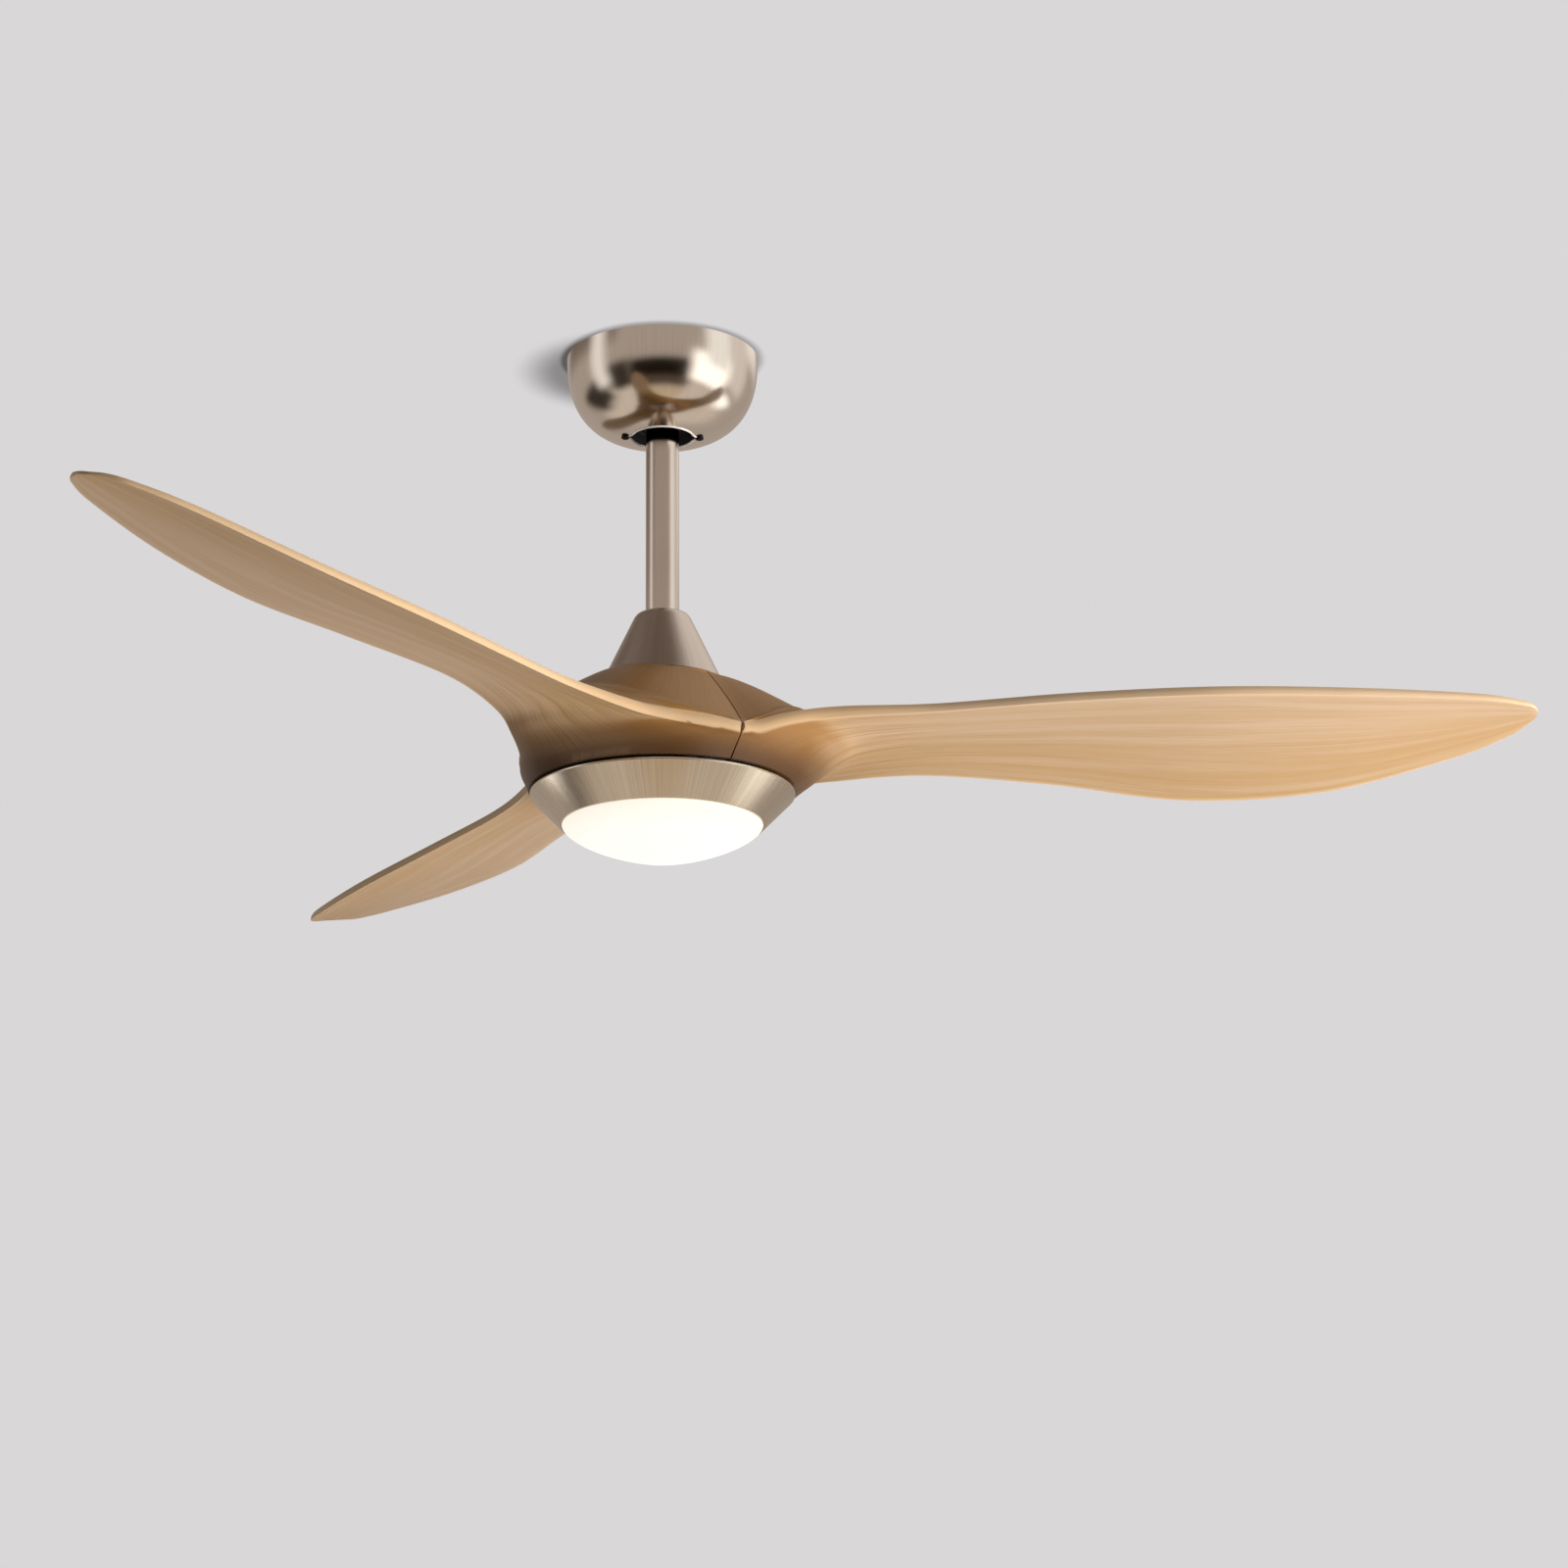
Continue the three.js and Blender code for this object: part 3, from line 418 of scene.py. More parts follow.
def treeWith(name, inputs):
    tree = bpy.data.node_groups.new(name, "GeometryNodeTree")
    tree.interface.new_socket("Geometry", in_out="INPUT", socket_type="NodeSocketGeometry")
    identifiers = {}
    for label, kind in inputs.items():
        socket = tree.interface.new_socket(label, in_out="INPUT", socket_type=kind)
        identifiers[label] = socket.identifier
    tree.interface.new_socket("Geometry", in_out="OUTPUT", socket_type="NodeSocketGeometry")
    kit = Kit(tree)
    start = tree.nodes.new("NodeGroupInput")
    sockets = {out.name: Wire(kit, out) for out in start.outputs if out.name}
    return tree, kit, sockets, identifiers


def finishTree(kit, shape, finish):
    solid = kit.node("GeometryNodeRealizeInstances", {}, {0: shape})
    dressed = kit.node("GeometryNodeSetMaterial", {}, {0: solid})
    dressed.socket.node.inputs["Material"].default_value = finish
    end = kit.tree.nodes.new("NodeGroupOutput")
    kit.tree.links.new(dressed.socket, end.inputs[0])


# Runs a node tree on a mesh and gives back the plain mesh it makes.
def evaluated(name, mesh, tree, identifiers, values):
    holder = bpy.data.objects.new(name + "Holder", mesh)
    bpy.context.scene.collection.objects.link(holder)
    modifier = holder.modifiers.new("tree", "NODES")
    modifier.node_group = tree
    for label, value in values.items():
        modifier[identifiers[label]] = value
    bpy.context.view_layer.update()
    seen = holder.evaluated_get(bpy.context.evaluated_depsgraph_get())
    made = bpy.data.meshes.new_from_object(seen)
    made.name = name
    bpy.data.objects.remove(holder)
    return made


# How narrow the canopy's two ears are, as the power of a cosine round its mouth, and how near the
# mouth they start, as the power of the way down. The rows crowd towards the mouth by their own power.
earPower = 24
earStart = 12
rowCrowding = 1.9


# A bowl of revolution whose radius falls as (1 - share^droop)^(1/roundness). It makes both the canopy
# and the lens: step 0..1 in y runs down the outside, round the mouth and back up the inside.
def bowlTree(finish):
    labels = ["Radius", "Depth", "Top", "Droop", "Roundness", "End", "Wall", "Ear", "Rows"]
    tree, kit, size, identifiers = treeWith("bowl", {label: "NodeSocketFloat" for label in labels})
    spot = kit.node("GeometryNodeInputPosition")
    turn, step = kit.split(spot)[:2]
    angle = turn * (2 * pi)
    inner = step.math("GREATER_THAN", 0.5)
    run = (1 - (step * 2 - 1).math("ABSOLUTE")) * size["Rows"] / (size["Rows"] - 1)
    eased = 1 - (1 - run) ** rowCrowding
    share = eased * size["End"]
    wall = size["Wall"] * inner
    fall = (1 - share ** size["Droop"]).math("MAXIMUM", 0.0) ** (1 / size["Roundness"])
    # the mouth opens into a small ear at each side, where the canopy is slipped over its screws
    side = (angle * 2).math("COSINE").math("MAXIMUM", 0.0) ** earPower
    reach = (size["Radius"] - wall) * fall + size["Ear"] * side * run ** earStart
    height = size["Top"] - (size["Depth"] - wall) * share
    shaped = kit.node("GeometryNodeSetPosition", {}, {
        "Geometry": size["Geometry"],
        "Position": kit.vector(reach * angle.math("COSINE"), reach * angle.math("SINE"), height),
    })
    merged = kit.node("GeometryNodeMergeByDistance", {}, {0: shaped, 2: 0.00001})
    finishTree(kit, merged, finish)
    return tree, identifiers


canopySizes = {
    "radius": canopyHigh[0],
    "depth": 65.0 * mm,
    "droop": 2.4,
    "roundness": 3.2,
    "hole": 24.1 * mm,
    "wall": 1.2 * mm,
    "ear": 2.4 * mm,
    "lip": 1.0 * mm,
    "lipSides": 10,
    "turns": 160,
    "rows": 81,
}


def closeRim(mesh):
    # joins the two open ends of a shell at its top, and turns every face outwards
    bm = bmesh.new()
    bm.from_mesh(mesh)
    bmesh.ops.remove_doubles(bm, verts=bm.verts, dist=0.00001)
    loose = [edge for edge in bm.edges if edge.is_wire]
    bmesh.ops.delete(bm, geom=loose, context="EDGES")
    edges = [edge for edge in bm.edges if edge.is_boundary]
    if edges:
        bmesh.ops.bridge_loops(bm, edges=edges)
    bmesh.ops.recalc_face_normals(bm, faces=bm.faces)
    bm.to_mesh(mesh)
    bm.free()
    smooth(mesh)


def makeCanopy():
    s = canopySizes
    end = (1 - (s["hole"] / s["radius"]) ** s["roundness"]) ** (1 / s["droop"])
    tree, identifiers = bowlTree(finishes["nickel"])
    mesh = evaluated("canopy_shell", unitGrid("canopyGrid", s["turns"], s["rows"]), tree, identifiers, {
        "Radius": s["radius"], "Depth": s["depth"], "Top": canopyHigh[2], "Droop": s["droop"],
        "Roundness": s["roundness"], "End": end, "Wall": s["wall"], "Ear": s["ear"], "Rows": s["rows"],
    })
    closeRim(mesh)
    newPiece("canopy_shell", mesh, None, "ceiling", ["canopy"])
    # rolled lip round the mouth, a little outside the hole's edge and below it; its white is a painted
    # highlight on the rolled edge
    loops = []
    lip = bmesh.new()
    z = canopyHigh[2] - s["depth"] * end + s["lip"] * 0.2
    count, sides = s["turns"], s["lipSides"]
    for i in range(count):
        a = 2 * pi * i / count
        middle = s["hole"] + s["ear"] * max(cos(2 * a), 0) ** earPower + s["lip"] * 0.3
        loop = []
        for k in range(sides):
            b = 2 * pi * k / sides
            r = middle + s["lip"] * cos(b)
            loop.append(lip.verts.new((r * cos(a), r * sin(a), z + s["lip"] * 0.9 * sin(b))))
        loops.append(loop)
    for i in range(count):
        here, after = loops[i], loops[(i + 1) % count]
        for k in range(sides):
            j = (k + 1) % sides
            lip.faces.new((here[k], here[j], after[j], after[k]))
    bmesh.ops.recalc_face_normals(lip, faces=lip.faces)
    mesh = bpy.data.meshes.new("canopy_lip")
    lip.to_mesh(mesh)
    lip.free()
    smooth(mesh)
    newPiece("canopy_lip", mesh, "bright_lip", "ceiling")


makeCanopy()
print("canopy made")


# A cross-slot screw, drawn once and placed by a node tree at each vertex of a small mesh.
screwSizes = {
    "sides": 28, "slot": 0.24, "slotReach": 0.62, "slotDepth": 0.35, "dome": 0.35,
    "firstTurn": 0.4, "nextTurn": 1.3,
}


def screwMesh(head, headHeight, shank, length):
    s = screwSizes
    depth = headHeight * s["dome"]
    outline = [
        (0, -headHeight), (head * 0.45, -headHeight * 0.97), (head * 0.8, -headHeight + depth * 0.5),
        (head * 0.96, -headHeight + depth * 1.4), (head, -headHeight * 0.35), (head * 0.97, 0), (shank, 0),
        (shank, length * 0.94), (shank * 0.7, length), (0, length),
    ]
    mesh = turnedMesh("screwBody", outline, s["sides"])
    blank = bpy.data.objects.new("screwBlank", mesh)
    bpy.context.scene.collection.objects.link(blank)
    arm = head * s["slot"] / 2
    reach = head * s["slotReach"]
    bm = bmesh.new()
    corners = [(arm, reach), (-arm, reach), (-arm, arm), (-reach, arm), (-reach, -arm), (-arm, -arm),
               (-arm, -reach), (arm, -reach), (arm, -arm), (reach, -arm), (reach, arm), (arm, arm)]
    low, high = -headHeight * 1.5, -headHeight * (1 - s["slotDepth"])
    rings = [[bm.verts.new((x, y, z)) for x, y in corners] for z in (low, high)]
    bm.faces.new(list(reversed(rings[0])))
    bm.faces.new(rings[1])
    for i in range(len(corners)):
        j = (i + 1) % len(corners)
        bm.faces.new((rings[0][i], rings[0][j], rings[1][j], rings[1][i]))
    bmesh.ops.recalc_face_normals(bm, faces=bm.faces)
    tool = bpy.data.meshes.new("screwSlot")
    bm.to_mesh(tool)
    bm.free()
    cutter = bpy.data.objects.new("screwCutter", tool)
    bpy.context.scene.collection.objects.link(cutter)
    cut = blank.modifiers.new("slot", "BOOLEAN")
    cut.operation = "DIFFERENCE"
    cut.solver = "EXACT"
    cut.object = cutter
    bpy.context.view_layer.update()
    seen = blank.evaluated_get(bpy.context.evaluated_depsgraph_get())
    made = bpy.data.meshes.new_from_object(seen)
    bpy.data.objects.remove(blank)
    bpy.data.objects.remove(cutter)
    smooth(made, 40)
    return made


def screwTree(screw, finish):
    tree, kit, size, identifiers = treeWith("screws", {"Turn": "NodeSocketFloat"})
    source = kit.node("GeometryNodeObjectInfo", {}, {}, "Geometry")
    source.socket.node.inputs[0].default_value = screw
    index = kit.node("GeometryNodeInputIndex")
    # each head stops at its own angle
    heading = size["Turn"] + index * screwSizes["nextTurn"]
    spun = kit.node("GeometryNodeInstanceOnPoints", {}, {
        "Points": size["Geometry"], "Instance": source, "Rotation": kit.vector(0.0, 0.0, heading),
    })
    finishTree(kit, spun, finish)
    return tree, identifiers


def placeScrews(name, body, nodes, finish, head, headHeight, shank, length):
    mesh = screwMesh(head, headHeight, shank, length)
    screw = bpy.data.objects.new("screwSource", mesh)
    bpy.context.scene.collection.objects.link(screw)
    points = bpy.data.meshes.new("screwPoints")
    spots = []
    for node in nodes:
        low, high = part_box(node)
        spots.append(((low[0] + high[0]) / 2, (low[1] + high[1]) / 2, low[2] + headHeight))
    points.from_pydata(spots, [], [])
    tree, identifiers = screwTree(screw, finishes[finish])
    made = evaluated(name, points, tree, identifiers, {"Turn": screwSizes["firstTurn"]})
    bpy.data.objects.remove(screw)
    smooth(made, 40)
    newPiece(name, made, None, body, nodes)


placeScrews(
    "canopy_screws", "ceiling", ["canopy_screw_left", "canopy_screw_right"], "black_steel",
    head=3.4 * mm, headHeight=2 * mm, shank=1.9 * mm, length=12 * mm,
)
placeScrews(
    "light_kit_screws", "hanging", ["light_screw_%d" % (i + 1) for i in range(3)], "zinc_steel",
    head=3.6 * mm, headHeight=2.2 * mm, shank=1.8 * mm, length=6.5 * mm,
)
placeScrews(
    "blade_screws", "rotor", ["blade_screw_%d" % (i + 1) for i in range(6)], "zinc_steel",
    head=4.6 * mm, headHeight=3.2 * mm, shank=2.4 * mm, length=13.4 * mm,
)
print("screws placed")


# The downrod, the cone over its coupling and the light ring, all turned shapes.
rodSizes = {"wall": 1.6 * mm, "edge": 0.5 * mm}
coverSizes = {
    "topRadius": 21.8 * mm,
    "wall": 1.6 * mm,
    "shoulder": 2.8 * mm,
    "opening": 13.7 * mm,
    "edge": 1.54 * mm,
}
# The bead is the narrow bright band at the ring's top; its slope starts under the groove.
ringSizes = {
    "bottomRadius": 78.2 * mm,
    "wall": 2 * mm,
    "lip": 76 * mm,
    "inner": 70 * mm,
    "bevel": 1.7 * mm,
    "beadTop": 0.7 * mm,
    "brim": 1.6 * mm,
    "groove": 0.5 * mm,
    "shelf": 2.4 * mm,
    "edge": 0.35 * mm,
}


def makeTurnedParts():
    radius = rodHigh[0]
    bore = radius - rodSizes["wall"]
    tube = [(bore, rodLow[2]), (radius, rodLow[2]), (radius, rodHigh[2]), (bore, rodHigh[2])]
    newPiece("downrod_tube", turnedMesh("downrod_tube", rounded(tube, rodSizes["edge"])), "rod_nickel",
             "hanging", ["downrod"])
    s = coverSizes
    top, low, base = coverHigh[2], coverLow[2], coverHigh[0]
    cone = [
        (s["opening"], top), (s["topRadius"] - s["shoulder"] * 0.9, top),
        (s["topRadius"], top - s["shoulder"]), (base, low), (base - s["wall"], low),
        (s["topRadius"] - s["wall"], top - s["shoulder"] - s["wall"]), (s["opening"], top - s["wall"]),
    ]
    newPiece("cover_cone", turnedMesh("cover_cone", rounded(cone, s["edge"], 6)), "cover_nickel",
             "hanging", ["coupling_cover"])
    s = ringSizes
    top, low, rim = ringHigh[2], ringLow[2], ringHigh[0]
    brim = top - s["brim"]
    slope = (rim - s["bottomRadius"]) / (brim - low)
    lipTop = low + s["wall"]
    shelf = top - s["shelf"]
    groove = s["groove"]
    ring = [
        (s["inner"], top), (rim - s["bevel"], top), (rim, top - s["beadTop"]), (rim, brim - groove),
        (rim - groove, brim - 2 * groove), (s["bottomRadius"], low), (s["lip"], low),
        (s["lip"], lipTop), (s["bottomRadius"] + slope * s["wall"] - s["wall"], lipTop),
        (s["bottomRadius"] + slope * (shelf - low) - s["wall"] * 1.3, shelf), (s["inner"], shelf),
    ]
    mesh = turnedMesh("light_ring_body", rounded(ring, s["edge"], 3), 192)
    newPiece("light_ring_body", mesh, "ring_nickel", "hanging", ["light_ring"])


makeTurnedParts()
print("turned parts made")

lensSizes = {
    "radius": 76.6 * mm,
    "sag": 29 * mm,
    "wall": 2.5 * mm,
    "droop": 1.5,
    "roundness": 1.3,
    "collar": 75.6 * mm,
    "collarWall": 2 * mm,
    "edge": 0.4 * mm,
    "turns": 128,
    "rows": 81,
}


def makeLens():
    s = lensSizes
    tree, identifiers = bowlTree(finishes["opal_lens"])
    rim = lensLow[2] + s["sag"]
    mesh = evaluated("lens_dome", unitGrid("lensGrid", s["turns"], s["rows"]), tree, identifiers, {
        "Radius": s["radius"], "Depth": s["sag"], "Top": rim, "Droop": s["droop"],
        "Roundness": s["roundness"], "End": 1.0, "Wall": s["wall"], "Ear": 0.0, "Rows": s["rows"],
    })
    closeRim(mesh)
    newPiece("lens_dome", mesh, None, "diffuser", ["lens"])
    inner = s["collar"] - s["collarWall"]
    collar = [(inner, rim), (s["collar"], rim), (s["collar"], lensHigh[2]), (inner, lensHigh[2])]
    mesh = turnedMesh("lens_collar", rounded(collar, s["edge"], 2))
    newPiece("lens_collar", mesh, "opal_lens", "diffuser")


makeLens()
print("lens made")


# Blades, in millimetres. An edge station is the share of the sweep, the place across and the height
# over the shoulder. The lists below them run from the hub's seam to the tip.
bladeSizes = {
    "sweep": 660.4,
    "topInner": coverHigh[0] / mm - 1.8,
    "topRadius": coverHigh[0] / mm + 3.7,
    "edgeRadius": 107,
    "shoulderRadius": 109,
    "hubHeight": 57,
    "hubEdge": 10,
    "rimRadius": 102.6,
    "rimWidth": 4.1,
    "footInner": 84,
    "footDepth": 8,
    "footThickness": 7.4,
    "hubWall": 4.4,
    "hubSlope": 0.18,
    "seamTwist": 0.145,
    "seamGap": 1.3,
    "crown": 1.6,
    "lean": 0.75,
    "coneRise": 0.65,
    "rootEnd": 4,
    "edgeInset": 0.8,
    "edgeBulge": 0.13,
    "edgeEase": 0.6,
    "grainWidth": 150,
    "bandShare": 0.03,
    "columns": 36,
    "coneSteps": 14,
    "bandSteps": 5,
    "backStart": [(12, 7.2, 4), (36, 14, 13)],
    "backEdge": [
        (0.2, -71, 21.5), (0.31, -69.5, 27), (0.46, -90, 30), (0.62, -108.5, 30.5), (0.78, -107.5, 31.5),
        (0.92, -95.5, 33), (0.975, -85, 32.5), (0.992, -78, 32), (0.9985, -70, 31.6),
    ],
    "frontStart": [(18.5, -13, 2), (45.5, -34, 3.5)],
    "frontEdge": [
        (0.2, 45, 4), (0.31, 30, 5.5), (0.46, 32.5, 0), (0.62, 41, -9), (0.78, 25, -5.5),
        (0.92, -12, 12), (0.975, -36, 22), (0.992, -50, 27), (0.9985, -60, 29.5),
    ],
    "rowsBetween": [4, 6, 9, 12, 14, 14, 14, 12, 8, 5, 4],
    "thickness": [10, 9.5, 9, 8.5, 6.5, 6.5, 6.5, 6, 5, 4, 3.2, 2],
    "topLift": [30, 24, 13, 6, 3.5, 2.5, 2.5, 2.5, 2, 1, 0.3, 0.1],
    "underLift": [-13.5, -9.5, -3.8, 0.5, 2, 3, 3, 3, 2, 1, 0.2, 0],
    "rowBow": [0, 9, 16, 14, 6, 1, 0, 0, 0, 0, 0, 0.3],
}


# A smooth curve through a list of numbers or vectors: t counts from one entry to the next.
def through(values, t):
    i = min(int(t), len(values) - 2)
    f = t - i
    a, b = values[max(i - 1, 0)], values[i]
    c, d = values[i + 1], values[min(i + 2, len(values) - 1)]
    return b + 0.5 * f * ((c - a) + f * (2 * a - 5 * b + 4 * c - d + f * (3 * (b - c) + d - a)))


def polar(r, angle, z):
    return Vector((r * cos(angle), r * sin(angle), z))


def makeBlade(number):
    s = bladeSizes
    hubTop, rimZ = bladeHigh[2] / mm, bladeLow[2] / mm
    edgeZ = hubTop - s["hubHeight"]
    shoulderZ = edgeZ - s["hubEdge"]
    columns = s["columns"]

    def seam(r, z, side):
        angle = radians(-60 + s["seamTwist"] * (z - shoulderZ)) + (radians(120) if side > 0 else 0)
        return polar(r, angle - side * s["seamGap"] / 2 / r, z)

    # root is 1 at the hub, where the rise is narrower and leans to the back edge, and 0 on the blade
    def arcRow(start, end, lift=0.0, bow=0.0, root=0.0):
        r0, r1 = hypot(start.x, start.y), hypot(end.x, end.y)
        a0, a1 = atan2(start.y, start.x), atan2(end.y, end.x)
        row = []
        for i in range(columns + 1):
            # columns crowd towards the edges, where the surface turns
            t = 0.5 - 0.5 * cos(pi * i / columns)
            hump = sin(pi * t)
            leaning = max(0.0, sin(pi * t ** (1 + (s["lean"] - 1) * root)))
            rise = leaning ** (1 + (s["crown"] - 1) * root)
            row.append(polar(r0 + (r1 - r0) * t + bow * hump, a0 + (a1 - a0) * t,
                             start.z + (end.z - start.z) * t + lift * rise))
        return row

    def seamRow(r, z, lift=0.0):
        return arcRow(seam(r, z, -1), seam(r, z, 1), lift, 0.0, 1.0)

    coneSteps = s["coneSteps"]
    cone = [(s["topRadius"] + (s["edgeRadius"] - s["topRadius"]) * i / coneSteps,
             hubTop - s["hubHeight"] * i / coneSteps) for i in range(coneSteps)]
    rimInner = s["rimRadius"] - s["rimWidth"]
    footBottom = rimZ + s["footDepth"]
    footTop = footBottom + s["footThickness"]
    wall = s["edgeRadius"] - s["hubHeight"] * s["hubSlope"]
    inside = [
        (s["topInner"], hubTop - s["hubWall"]), (wall - 4, edgeZ + 9), (wall, edgeZ + 2), (wall, footTop),
        (s["footInner"], footTop), (s["footInner"], footBottom), (rimInner, footBottom), (rimInner, rimZ),
        (s["rimRadius"], rimZ),
    ]

    def edgeStations(side):
        start = seam(s["shoulderRadius"], shoulderZ, side)
        name = "front" if side > 0 else "back"
        places = [start] + [start + Vector(step) for step in s[name + "Start"]]
        for share, across, rise in s[name + "Edge"]:
            places.append(Vector((share * s["sweep"], across, shoulderZ + rise)))
        return places

    def heading(edge, t):
        nearby = 0.05
        ahead = through(edge, min(t + nearby, len(edge) - 1))
        return (ahead - through(edge, max(t - nearby, 0))).normalized()

    back, front = edgeStations(-1), edgeStations(1)
    spots = []
    for i, count in enumerate(s["rowsBetween"]):
        spots += [i + k / count for k in range(count)]
    spots.append(len(s["rowsBetween"]))
    topRows = [seamRow(s["topInner"], hubTop)]
    for i, (r, z) in enumerate(cone):
        topRows.append(seamRow(r, z, s["topLift"][0] * (i / coneSteps) ** s["coneRise"]))
    underRows = [seamRow(r, z) for r, z in inside]
    backBands, frontBands = [], []
    for t in spots:
        thickness = through(s["thickness"], t)
        lows = [through(back, t), through(front, t)]
        inset = s["edgeInset"]
        highs = [lows[0] + Vector((0, inset, thickness)), lows[1] + Vector((0, -inset, thickness))]
        if t == 0:
            highs = [seam(s["edgeRadius"], edgeZ, side) for side in (-1, 1)]
        root = max(0.0, 1 - t / s["rootEnd"])
        topRows.append(arcRow(*highs, through(s["topLift"], t), through(s["rowBow"], t), root))
        underRows.append(arcRow(*lows, through(s["underLift"], t), through(s["rowBow"], t)))
        ahead, behind = heading(front, t), heading(back, t)
        outs = [Vector((behind.y, -behind.x, 0)), Vector((-ahead.y, ahead.x, 0))]
        if t == 0:
            outs = [seam(1, shoulderZ, side) - Vector((0, 0, shoulderZ)) for side in (-1, 1)]
        for bands, top, under, out in zip((backBands, frontBands), highs, lows, outs):
            strip = []
            for k in range(1, s["bandSteps"]):
                f = k / s["bandSteps"]
                strip.append(top.lerp(under, f) + out * (s["edgeBulge"] * thickness * sin(pi * f)))
            bands.append(strip)

    # the grain runs from the hub to the tip, so each row keeps its way along and its share across;
    # the band is the strip along both edges that is painted paler, a painted highlight on the rounded
    # edges over their paler tone
    grainAt, bandAt = {}, {}

    def key(point):
        return (round(point.x, 3), round(point.y, 3), round(point.z, 3))

    def markGrain(rows, first, bandFrom):
        middle = columns // 2
        for step in (1, -1):
            way = 0.0
            order = range(first, len(rows)) if step > 0 else range(first, -1, -1)
            for j in order:
                if j != first:
                    way += step * (rows[j][middle] - rows[j - step][middle]).length
                for i, point in enumerate(rows[j]):
                    share = 0.5 - 0.5 * cos(pi * i / columns)
                    grainAt[key(point)] = (way * mm, (share - 0.5) * s["grainWidth"] * mm)
                    if j >= bandFrom:
                        bandAt[key(point)] = max(0.0, 1 - min(share, 1 - share) / s["bandShare"])

    bm = bmesh.new()
    made = {}

    def vert(point):
        if key(point) not in made:
            made[key(point)] = bm.verts.new(point)
        return made[key(point)]

    def face(*points):
        corners = list(dict.fromkeys(vert(point) for point in points))
        if len(corners) > 2:
            bm.faces.new(corners)

    def sheet(rows):
        for here, after in zip(rows, rows[1:]):
            for i in range(len(here) - 1):
                face(here[i], after[i], after[i + 1], here[i + 1])

    first = len(topRows) - len(spots)
    firstUnder = len(underRows) - len(spots)
    markGrain(topRows, first, first)
    # under the hub's skirt the band starts a few rows out
    markGrain(underRows, firstUnder, firstUnder + 4)
    sheet(topRows)
    sheet(underRows)
    sheet([underRows[0], topRows[0]])
    for bands, column in ((backBands, 0), (frontBands, columns)):
        for k, strip in enumerate(bands):
            along, across = grainAt[key(topRows[first + k][column])]
            for point in strip:
                grainAt[key(point)] = (along, across)
                bandAt[key(point)] = 1.0
        loops = []
        for k, strip in enumerate(bands):
            loops.append([topRows[first + k][column], *strip, underRows[firstUnder + k][column]])
        sheet(loops)
        outline = [row[column] for row in topRows[:first + 1]] + bands[0]
        outline += [row[column] for row in reversed(underRows[:firstUnder + 1])]
        face(*outline)
    # the tip: its end row closes through the last strips of both edges
    endTop, endUnder = topRows[-1], underRows[-1]
    face(*endTop, *frontBands[-1], *reversed(endUnder), *reversed(backBands[-1]))
    bmesh.ops.remove_doubles(bm, verts=bm.verts, dist=0.001)
    bmesh.ops.recalc_face_normals(bm, faces=bm.faces)
    grain = bm.loops.layers.uv.new("grain")
    for each in bm.faces:
        for loop in each.loops:
            plain = (loop.vert.co.x * mm, loop.vert.co.y * mm)
            loop[grain].uv = grainAt.get(key(loop.vert.co), plain)
    band = bm.verts.layers.float.new("edgeBand")
    for corner in bm.verts:
        corner[band] = bandAt.get(key(corner.co), 0.0)
    turn = Matrix.Rotation(radians(120) * (number - 1), 4, "Z") @ Matrix.Scale(mm, 4)
    bmesh.ops.transform(bm, matrix=turn, verts=bm.verts)
    mesh = bpy.data.meshes.new("blade_skin_%d" % number)
    bm.to_mesh(mesh)
    bm.free()
    smooth(mesh, 38)
    piece = newPiece(mesh.name, mesh, "oak_grain", "rotor", ["blade_%d" % number])
    edge = piece.modifiers.new("edge", "BEVEL")
    edge.width = s["edgeEase"] * mm
    edge.segments = 2
    edge.limit_method = "ANGLE"
    edge.angle_limit = radians(40)


for number in (1, 2, 3):
    makeBlade(number)
print("blades made")


# Inner and hidden parts keep their shape: a merged copy, with edges eased and smooth round walls.
easing = 0.25 * mm


def softened(node, body, finish):
    bm = bmesh.new()
    bm.from_mesh(frame["nodes"][node].data)
    bmesh.ops.remove_doubles(bm, verts=bm.verts, dist=0.00001)
    bmesh.ops.dissolve_limit(bm, angle_limit=radians(1), verts=bm.verts, edges=bm.edges)
    mesh = bpy.data.meshes.new(node + "_skin")
    bm.to_mesh(mesh)
    bm.free()
    smooth(mesh, 30)
    piece = newPiece(mesh.name, mesh, finish, body, [node])
    edge = piece.modifiers.new("ease", "BEVEL")
    edge.width = easing
    edge.segments = 2
    edge.limit_method = "ANGLE"
    edge.angle_limit = radians(40)


bodyOf = {}
for body, nodes in frame["record"]["behaviour"]["bodies"].items():
    for node in nodes:
        bodyOf[node] = body
softNodes = [
    "receiver_case", "receiver_lid", "terminal_block", "hanger_ball", "seat_liner",
    "motor_yoke", "clevis_pin", "light_mount_plate", "rotor_upper_shell", "rotor_lower_shell",
    "driver_pan", "led_driver", "shaft_nut", "stator_core", "hanger_bracket",
]
for node in softNodes:
    softened(node, bodyOf[node], slotOf[node])
print("inner parts eased")


# Room: the ceiling is seen from below only, so that views from above look past it.
stageSizes = {
    "size": 60.0,
    "ceilingHeight": 0.6 * mm,
    "floorHeight": -2.35,
    # the contact shadow: where its deep side is centred, and where both of its parts fade
    "shadowX": -30 * mm,
    "shadowY": 28 * mm,
    "shadowFade": (50 * mm, 92 * mm),
    "rimFade": (73.5 * mm, 83 * mm),
}


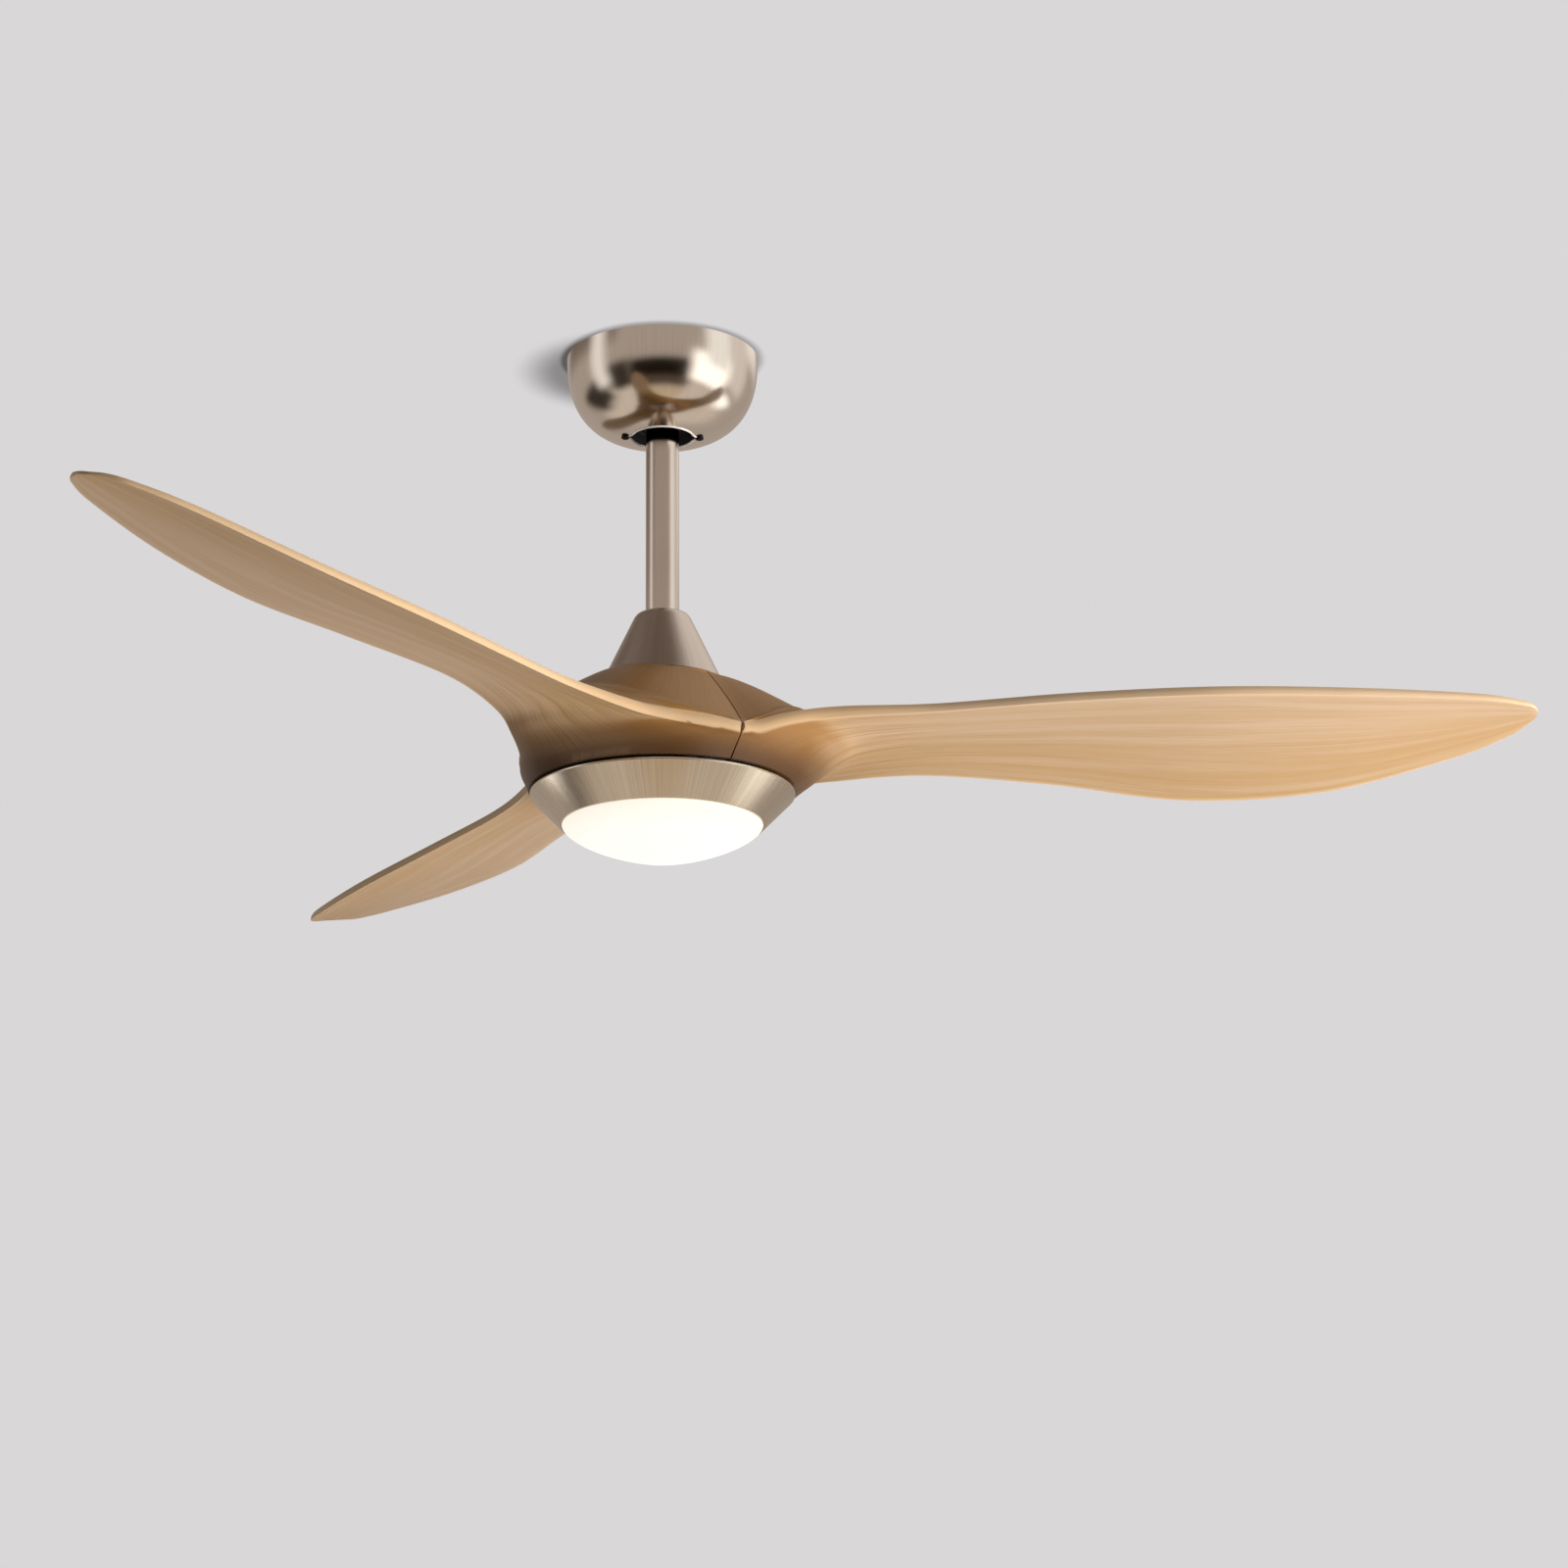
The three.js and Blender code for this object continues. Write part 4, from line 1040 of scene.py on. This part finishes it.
def stagePlane(name, z, down):
    size = stageSizes["size"]
    bm = bmesh.new()
    corners = [(-size, -size), (size, -size), (size, size), (-size, size)]
    if down:
        corners.reverse()
    bm.faces.new([bm.verts.new((x, y, z)) for x, y in corners])
    mesh = bpy.data.meshes.new(name)
    bm.to_mesh(mesh)
    bm.free()
    plane = bpy.data.objects.new(name, mesh)
    bpy.context.scene.collection.objects.link(plane)
    return plane


def makeRoom():
    s = stageSizes
    ceiling = stagePlane("ceiling", s["ceilingHeight"], True)
    ceiling.visible_shadow = False
    ceiling.visible_glossy = False
    ceiling.visible_diffuse = False
    wall = bpy.data.materials.new("ceilingPaint")
    wall.use_nodes = True
    wall.node_tree.nodes.clear()
    kit = Kit(wall.node_tree)
    x, y, z = kit.split(kit.place())
    # soft contact shadow on the side of the canopy that is turned from the light
    left = ((x - s["shadowX"]) ** 2 + (y - s["shadowY"]) ** 2 + 1e-8) ** 0.5
    rim = (x * x + y * y + 1e-8) ** 0.5
    contact = (1 - left.ramp(*s["shadowFade"])) + 0.8 * (1 - rim.ramp(*s["rimFade"]))
    tone = kit.mix(contact * 0.75, colour(217, 215, 216), colour(96, 93, 92))
    paint = kit.node("ShaderNodeEmission", {}, {"Color": tone, "Strength": 1.0})
    seen = kit.node("ShaderNodeBsdfTransparent")
    behind = kit.node("ShaderNodeNewGeometry", {}, {}, "Backfacing")
    both = kit.node("ShaderNodeMixShader", {}, {0: behind, 1: paint, 2: seen})
    end = wall.node_tree.nodes.new("ShaderNodeOutputMaterial")
    wall.node_tree.links.new(both.socket, end.inputs[0])
    ceiling.data.materials.append(wall)
    floor = stagePlane("floor", s["floorHeight"], False)
    floor.visible_glossy = False

    def paleFloor(kit):
        grain = kit.noise(kit.place(), 40.0, 2.0)
        return {"Base Color": kit.mix(grain, colour(214, 212, 210), colour(220, 218, 217))}
    floor.data.materials.append(makeMaterial("paleFloor", {"Roughness": 0.9}, paleFloor))


makeRoom()

# Light. The world is plain and pale to the eye; metal sees a room with dark, warm and bright parts.
light = {
    "ambient": 0.27,
    "key": {"spot": (2.6, -0.9, -0.1), "size": 1.2, "power": 60.0, "tint": (1.0, 0.97, 0.93)},
    "fill": {"spot": (-2.6, -1.2, -0.6), "size": 2.0, "power": 3.0, "tint": (1.0, 0.98, 0.96)},
    "under": {"spot": (1.5, -0.5, -1.7), "size": 1.6, "power": 50.0, "tint": (1.0, 0.97, 0.94)},
    "glint": {"spot": (-0.62, 0.3, -0.66), "size": 0.22, "power": 0.25, "tint": (1.0, 0.97, 0.93)},
}


def makeWorld():
    world = bpy.data.worlds.new("room")
    world.use_nodes = True
    tree = world.node_tree
    tree.nodes.clear()
    kit = Kit(tree)
    x, y, z = kit.split(kit.node("ShaderNodeTexCoord", out="Generated"))
    turned = x.math("ARCTAN2", -1 * y)  # 0 in front of the fan, positive to the right

    def window(value, low, high, soft):
        return value.ramp(low - soft, low + soft) * (1 - value.ramp(high - soft, high + soft))

    brilliant = (1.7, 1.6, 1.48, 1.0)
    # what the metal sees: tone, from and to round the fan in degrees, from and to in height
    patches = [
        (colour(112, 98, 88), -60, 60, 0.6, 1.4),
        (colour(255, 248, 240), 80, 150, 0.3, 1.4),
        (colour(116, 102, 92), -150, -60, 0.3, 1.4),
        (colour(212, 198, 184), -181, 181, -1.4, -0.62),
        (colour(196, 170, 134), -44, 44, -0.97, -0.84),
        (colour(56, 48, 42), -132, -90, -0.72, -0.16),
        (colour(56, 48, 42), -78, -44, -0.68, -0.06),
        (colour(84, 70, 58), -44, 38, -0.8, -0.2),
        (colour(24, 18, 12), -44, 34, -0.54, -0.1),
        (colour(224, 214, 206), 52, 120, -0.3, 0.7),
        (brilliant, 36, 88, -0.56, 0.1),
        (colour(255, 252, 246), 54, 86, -0.1, 0.8),
        (colour(250, 244, 238), -96, -76, -0.42, 0.7),
        (brilliant, 96, 122, -0.7, -0.46),
    ]
    seenTone = colour(176, 164, 154)
    for tone, low, high, under, over in patches:
        area = window(turned, radians(low), radians(high), 0.17) * window(z, under, over, 0.11)
        seenTone = kit.mix(area, seenTone, tone)
    mirrored = kit.node("ShaderNodeBackground", {}, {"Color": seenTone, "Strength": 1.0})
    diffuse = kit.node("ShaderNodeBackground", {}, {
        "Color": colour(250, 246, 240), "Strength": light["ambient"],
    })
    seen = kit.node("ShaderNodeBackground", {}, {"Color": colour(217, 215, 216), "Strength": 1.0})
    path = kit.node("ShaderNodeLightPath")
    outs = path.socket.node.outputs
    glossy, camera = Wire(kit, outs["Is Glossy Ray"]), Wire(kit, outs["Is Camera Ray"])
    first = kit.node("ShaderNodeMixShader", {}, {0: glossy, 1: diffuse, 2: mirrored})
    last = kit.node("ShaderNodeMixShader", {}, {0: camera, 1: first, 2: seen})
    end = tree.nodes.new("ShaderNodeOutputWorld")
    tree.links.new(last.socket, end.inputs[0])
    bpy.context.scene.world = world


def areaLight(name, target):
    s = light[name]
    data = bpy.data.lights.new(name, "AREA")
    data.shape = "DISK"
    data.size = s["size"]
    data.energy = s["power"]
    data.color = s["tint"]
    lamp = bpy.data.objects.new(name, data)
    lamp.location = s["spot"]
    lamp.rotation_euler = (Vector(target) - Vector(s["spot"])).to_track_quat("-Z", "Y").to_euler()
    bpy.context.scene.collection.objects.link(lamp)
    lamp.visible_glossy = False
    lamp.visible_camera = False
    return lamp


makeWorld()
hubSpot = (0, 0, bladeHigh[2])
for name in ("key", "fill", "under"):
    areaLight(name, hubSpot)
# the glint is a streak on the light ring alone
glint = areaLight("glint", (ringLow[0], 0, ringLow[2]))
glint.visible_glossy = True
glint.visible_diffuse = False
ringOnly = bpy.data.collections.new("ring_only")
ringOnly.objects.link(bpy.data.objects["light_ring_body"])
glint.light_linking.receiver_collection = ringOnly

# Camera: a little under the fan, looking up past the light.
view = {
    "azimuth": -2.24,
    "distance": 2.853,
    "height": -1.175,
    "pitch": 16.18,
    "lens": 89.33,
    "shift": 0.0775,
}
lens = bpy.data.cameras.new("camera")
lens.sensor_width = 36
lens.lens = view["lens"]
lens.shift_x = view["shift"]
lens.clip_end = 200
camera = bpy.data.objects.new("camera", lens)
turn = radians(view["azimuth"])
camera.location = (view["distance"] * sin(turn), -view["distance"] * cos(turn), view["height"])
camera.rotation_euler = (radians(90 + view["pitch"]), 0, turn)
bpy.context.scene.collection.objects.link(camera)
bpy.context.scene.camera = camera
bpy.context.scene.view_settings.view_transform = "Standard"
print("stage, light and camera set")
